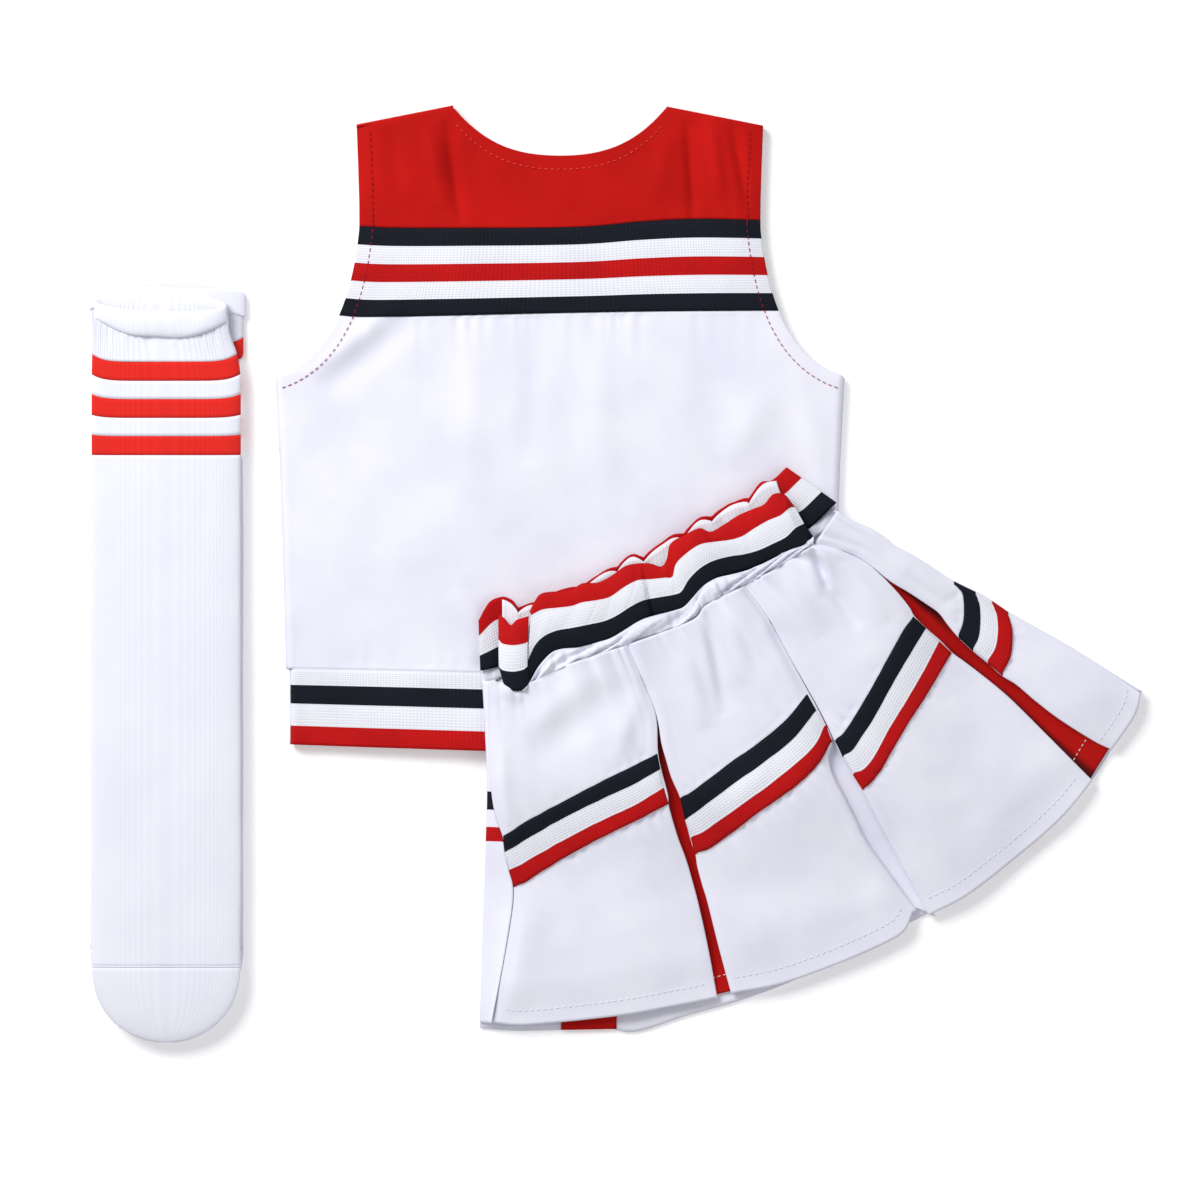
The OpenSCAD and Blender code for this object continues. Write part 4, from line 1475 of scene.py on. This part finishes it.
class Sock:
    """One sock of the pair. The lower one is pressed flat and wide by the one that lies on it."""

    def __init__(self, word, pressed, seed):
        self.body, self.pressed, self.seed = f"{word}_sock", pressed, seed
        low, high = node_box(f"{self.body}_leg")
        self.x = (low.x + high.x) / 2 + (1.6 if pressed else 0.4)
        self.z = low.z
        self.half_w = (high.x - low.x) / 2 + (1.0 if pressed else -0.1)
        self.half_h = (high.z - low.z) / 2 * (0.9 if pressed else 1.0)
        self.toe_start, self.toe_tip = low.y, node_box(f"{self.body}_toe")[0].y
        cuff_low, cuff_high = node_box(f"{self.body}_cuff")
        self.cuff_low, self.mouth = cuff_low.y, cuff_high.y
        self.girth = 4 * (self.half_w + 1)
        self.under = None if pressed else "lower_sock_leg_knit"

    def half_width(self, y):
        """Half the width of the leg. The lower sock is tucked in beside the upper one's stripes."""
        if self.pressed:
            below = self.cuff_low - y
            return self.half_w - 1.9 * smooth((below - 9) / 4) * smooth((66 - below) / 8)
        return self.half_w - 4.2 * self.drawn_in(y)

    def tucked(self, y):
        """The share by which the lower sock's left edge is drawn in under the upper one's cuff."""
        return 0.055 * smooth((y - self.cuff_low + 12) / 4)

    def drawn_in(self, y):
        """How much the upper sock draws in at this height, towards its cuff."""
        return 0.0 if self.pressed else smooth((y - self.cuff_low + 14) / 40)

    def rise(self, y, across):
        """The rings of the leg curl up at its sides, more so near the cuff."""
        near = smooth((y - self.cuff_low + 60) / 64)
        return near * (4.4 * min(1.0, abs(across)) ** 7 - 1.4)

    def leg(self, y_from, y_to):
        """Places a stretch of the leg: u goes round it, and v runs from y_from down to y_to."""

        def place(u, v):
            y = y_from + (y_to - y_from) * v
            beyond = max(0.0, (self.toe_start - y) / (self.toe_start - self.toe_tip))
            taper = math.sqrt(max(0.0, 1 - beyond**2.15))
            wobble = 0.35 * noise.noise(Vector((y / 45, self.seed, 0)))
            half_w = (self.half_width(y) + wobble) * max(taper, 0.012)
            half_h = self.half_h * (0.25 + 0.75 * taper) if beyond < 1 else 0.05
            dx, dz = sock_section(2 * math.pi * u, half_w, half_h)
            if self.pressed and dx < 0:
                dx *= 1 - self.tucked(y)
            top = max(0.0, math.sin(2 * math.pi * u)) * taper
            soft = 0.8 * noise.noise(Vector((dx / 34, y / 60, self.seed)))
            soft += 0.25 * noise.noise(Vector((dx / 10, y / 20, self.seed)))
            x = self.x - 3.2 * self.drawn_in(y) + dx
            return x, y + self.rise(y, dx / half_w), self.z + half_h + dz + soft * top

        return place

    def cuff(self, u, v):
        """The ribbed cuff is turned down over itself, and its mouth lies open, lower in front."""
        turn = 2 * math.pi * u
        front = math.sin(turn)
        across, _ = sock_section(turn, 1, 1)
        # The lower sock's mouth lies flat and shows past the upper one's, which gapes open
        if self.pressed:
            lip = self.mouth - 1.8 - 1.5 * front - 1.8 * across - 3 * abs(across) ** 9
        else:
            lip = self.mouth - 2.9 - 4.7 * front - 1.0 * across
        lip += 0.8 * noise.noise(Vector((across * 2, front, self.seed)))
        layer = 0.5 if self.pressed else 1.0
        if v < RIBBED:
            y, out = self.cuff_low + (lip - 4 - self.cuff_low) * v / RIBBED, 0.0
        else:
            down, out = CUFF_FOLD((v - RIBBED) / (1 - RIBBED))
            curl = 8.0 * abs(across) ** 3 * max(0.0, front) ** 0.3 * down / 13
            y = lip - down * 0.9 if self.pressed else lip - down + curl
        near = smooth((y - self.cuff_low) / 14)
        roll = smooth((v - RIBBED + 0.1) / 0.15)
        wide = self.half_width(y) + (near if self.pressed else -1.7 * roll)
        squeeze = 0.9 if self.pressed else 1.3
        dx, dz = sock_section(turn, wide + 0.25 * out, self.half_h - squeeze * near)
        if self.pressed and dx < 0:
            dx *= 1 - self.tucked(y)
        # The roll swells at the front only: at the back it lies flat on what is under it
        away = out * front * ((0.25 if self.pressed else 0.95) if front > 0 else 0.05)
        gather = creased(u * 400, 5.0, self.seed) * 1.1 * smooth((y - self.cuff_low) / 8)
        gather *= v < RIBBED
        soft = 0.8 * noise.noise(Vector((dx / 14, y / 12, self.seed))) * (v >= RIBBED)
        z = self.z + self.half_h + dz + away + (gather * near + soft) * max(0.0, front) * layer
        x = self.x + dx - (0.9 * near if self.pressed else 3.2 * self.drawn_in(y) - 0.3 * roll)
        return x, y + self.rise(y, across) * (1 - near), z


class UNIFORM_OT_socks(bpy.types.Operator):
    """The pair of knee socks: leg, stripes, folded cuff, toe and toe seam"""

    bl_idname = "uniform.socks"
    bl_label = "Knee socks"

    def execute(self, context):
        for sock in (Sock("lower", True, 1.3), Sock("upper", False, 6.8)):
            edges = [sock.cuff_low]
            for i in range(3):
                start = sock.cuff_low - i * STRIPE_STEP
                edges += [start - STRIPE_H, sock.cuff_low - (i + 1) * STRIPE_STEP]
            edges[-1] = sock.toe_start
            self.rings(sock, "stripes", edges[:6], True, "sock_stripe_knit", "sock red")
            self.rings(sock, "leg", edges, False, "sock_knit", "sock")
            self.toe(sock)
            # Its rows run down the leg, as those of the other tubes do
            cloth(f"{sock.body}_cuff_rib", steps(AROUND), steps(54)[::-1], sock.cuff,
                  "sock, sock rib", sock.body, f"{sock.body}_cuff", "sock_knit",
                  SOCK_KNIT, lambda u, v: 1 if v < RIBBED else 0, (sock.girth, CUFF_CUT),
                  rests_on=sock.under, tube=True)
        return {"FINISHED"}

    def rings(self, sock, part, edges, first_ring, slot, shade):
        """The red or the white rings of the leg, as one piece of separate tubes."""
        top, low = edges[0], edges[-1]
        rings = list(zip(edges, edges[1:]))[0 if first_ring else 1 :: 2]
        vs = []
        for a, b in rings:
            rows = max(5, cells((a - b) * 0.8))
            vs += [(top - a + (a - b) * t) / (top - low) for t in steps(rows)]

        def in_ring(v):
            return any(top - a < v * (top - low) < top - b for a, b in rings)

        cloth(f"{sock.body}_{part}_knit", steps(AROUND), vs, sock.leg(top, low), shade, sock.body,
              f"{sock.body}_{part}", slot, SOCK_KNIT,
              size=(sock.girth, sum(a - b for a, b in rings)), rests_on=sock.under, tube=True,
              keep=in_ring)

    def toe(self, sock):
        """The toe, and the linking seam, a fine ridge round the foot where it begins."""
        rows = [1 - (1 - t) ** 1.6 for t in steps(26)]
        place = sock.leg(sock.toe_start, sock.toe_tip + 0.3)
        cloth(f"{sock.body}_toe_knit", steps(AROUND), rows, place, "sock", sock.body,
              f"{sock.body}_toe", "sock_knit", SOCK_KNIT, size=(sock.girth, TOE_CUT),
              rests_on=sock.under, tube=True)
        place = sock.leg(sock.toe_start, sock.toe_tip)
        points = [Vector(place(t, 0.0)) for t in steps(90, 0.02, 0.48)]
        ridge(f"{sock.body}_toe_seam_ridge", points, 0.45, "sock", sock.body,
              f"{sock.body}_toe_seam", "sock_knit", around=6)


# ---- stage ----


class UNIFORM_OT_materials(bpy.types.Operator):
    """Makes the cloth, knit and thread materials"""

    bl_idname = "uniform.materials"
    bl_label = "Materials"

    def execute(self, context):
        c = colours()
        MATERIALS.update({
            "white": twill("white_polyester_twill", c.white, "#DCDCF0"),
            "skirt": twill("skirt_polyester_twill", c.skirt, "#DADAEC"),
            "red": twill("red_polyester_twill", c.red, "#A20603"),
            # The pleat red darkens towards #2A0204 with painted shade, as each insert's vertex
            # attribute says.
            "pleat red": twill("red_pleat_twill_painted_shade", c.red, "#A20603", "#2A0204"),
            "braid red": braid_knit("red_knit_braid", c.braid_red, "#8E0608"),
            "braid white": braid_knit("white_knit_braid", c.braid_white, "#DDDEEC"),
            "navy": braid_knit("navy_knit_braid", c.navy, "#0B0D14"),
            "elastic": sock_rib("waist_elastic_knit", "#F2F2FA", "#E0E0EC", 2.4, 0.08),
            "sock": sock_rib("sock_cotton_knit", c.sock, "#E0E1F0", 1.9, 0.06),
            "sock red": sock_rib("sock_red_knit", c.sock_red, "#C9241E", 1.9, 0.10),
            "sock rib": sock_rib("sock_cuff_rib", c.sock, "#D8DAEA", 1.9, 0.16),
            "red thread": thread("red_sewing_thread", "#F0584C", "#D8342A"),
            "maroon thread": thread("maroon_sewing_thread", "#A8142E", "#7A0E1E"),
            "dark red thread": thread("dark_red_sewing_thread", "#96100C", "#B01A14"),
            "hem thread": thread("hem_sewing_thread", "#F4F4FC", "#DCDCEA"),
            "white thread": thread("white_sewing_thread", "#F2E6E6", "#E0D0D0"),
        })
        return {"FINISHED"}


class UNIFORM_OT_stage(bpy.types.Operator):
    """A pale floor, soft lights and a camera that looks straight down"""

    bl_idname = "uniform.stage"
    bl_label = "Stage"

    def execute(self, context):
        scene = context.scene
        scene.view_settings.view_transform = "Standard"
        bm = bmesh.new()
        bmesh.ops.create_grid(bm, x_segments=1, y_segments=1, size=6.0)
        mesh = bpy.data.meshes.new("floor")
        bm.to_mesh(mesh)
        bm.free()
        floor = bpy.data.objects.new("floor", mesh)
        scene.collection.objects.link(floor)
        paint, tree = new_material("pale_paper")
        shader = tree.nodes["Principled BSDF"]
        shader.inputs["Base Color"].default_value = linear("#FAFAFC")
        shader.inputs["Roughness"].default_value = 0.9
        shader.inputs["Emission Color"].default_value = (1, 1, 1, 1)
        shader.inputs["Emission Strength"].default_value = 0.2
        mesh.materials.append(paint)
        world = bpy.data.worlds.new("studio")
        scene.world = world
        world.use_nodes = True
        world.node_tree.nodes["Background"].inputs["Color"].default_value = (1, 1, 1, 1)
        world.node_tree.nodes["Background"].inputs["Strength"].default_value = 0.42
        for name, place, size, power in (
            ("key", (-1.15, 1.2, 1.5), 1.1, 42.0),
            ("fill", (1.4, -0.8, 2.0), 1.6, 8.0),
        ):
            lamp = bpy.data.lights.new(name, "AREA")
            lamp.size = size
            lamp.energy = power
            holder = bpy.data.objects.new(name, lamp)
            holder.location = place
            holder.rotation_euler = Vector(place).to_track_quat("Z", "Y").to_euler()
            scene.collection.objects.link(holder)
        camera = bpy.data.cameras.new("camera")
        holder = bpy.data.objects.new("camera", camera)
        height = sizes().camera_height
        camera.lens = camera.sensor_width * height / sizes().view_width
        camera.clip_end = 20.0
        holder.location = (-0.0085, -0.01375, height)
        scene.collection.objects.link(holder)
        scene.camera = holder
        return {"FINISHED"}


class UNIFORM_PT_panel(bpy.types.Panel):
    """Lists the steps that make the uniform"""

    bl_label = "Cheer Uniform"
    bl_space_type = "VIEW_3D"
    bl_region_type = "UI"
    bl_category = "Cheer Uniform"

    def draw(self, context):
        layout = self.layout
        for group in (context.scene.uniform_colours, context.scene.uniform_sizes):
            for key in group.__annotations__:
                layout.prop(group, key)
        for step in STEPS:
            layout.operator(step.bl_idname)


STEPS = (
    UNIFORM_OT_materials,
    UNIFORM_OT_stage,
    UNIFORM_OT_top_back,
    UNIFORM_OT_top_front,
    UNIFORM_OT_top_edges,
    UNIFORM_OT_back_pleats,
    UNIFORM_OT_inserts,
    UNIFORM_OT_front_pleats,
    UNIFORM_OT_waistband,
    UNIFORM_OT_socks,
)
CLASSES = (UniformColours, UniformSizes, *STEPS, UNIFORM_PT_panel)


def register():
    for each in CLASSES:
        bpy.utils.register_class(each)
    bpy.types.Scene.uniform_colours = bpy.props.PointerProperty(type=UniformColours)
    bpy.types.Scene.uniform_sizes = bpy.props.PointerProperty(type=UniformSizes)


def unregister():
    del bpy.types.Scene.uniform_sizes
    del bpy.types.Scene.uniform_colours
    for each in reversed(CLASSES):
        bpy.utils.unregister_class(each)


def main():
    register()
    for step in STEPS:
        family, name = step.bl_idname.split(".")
        getattr(getattr(bpy.ops, family), name)()


if __name__ == "__main__":
    main()
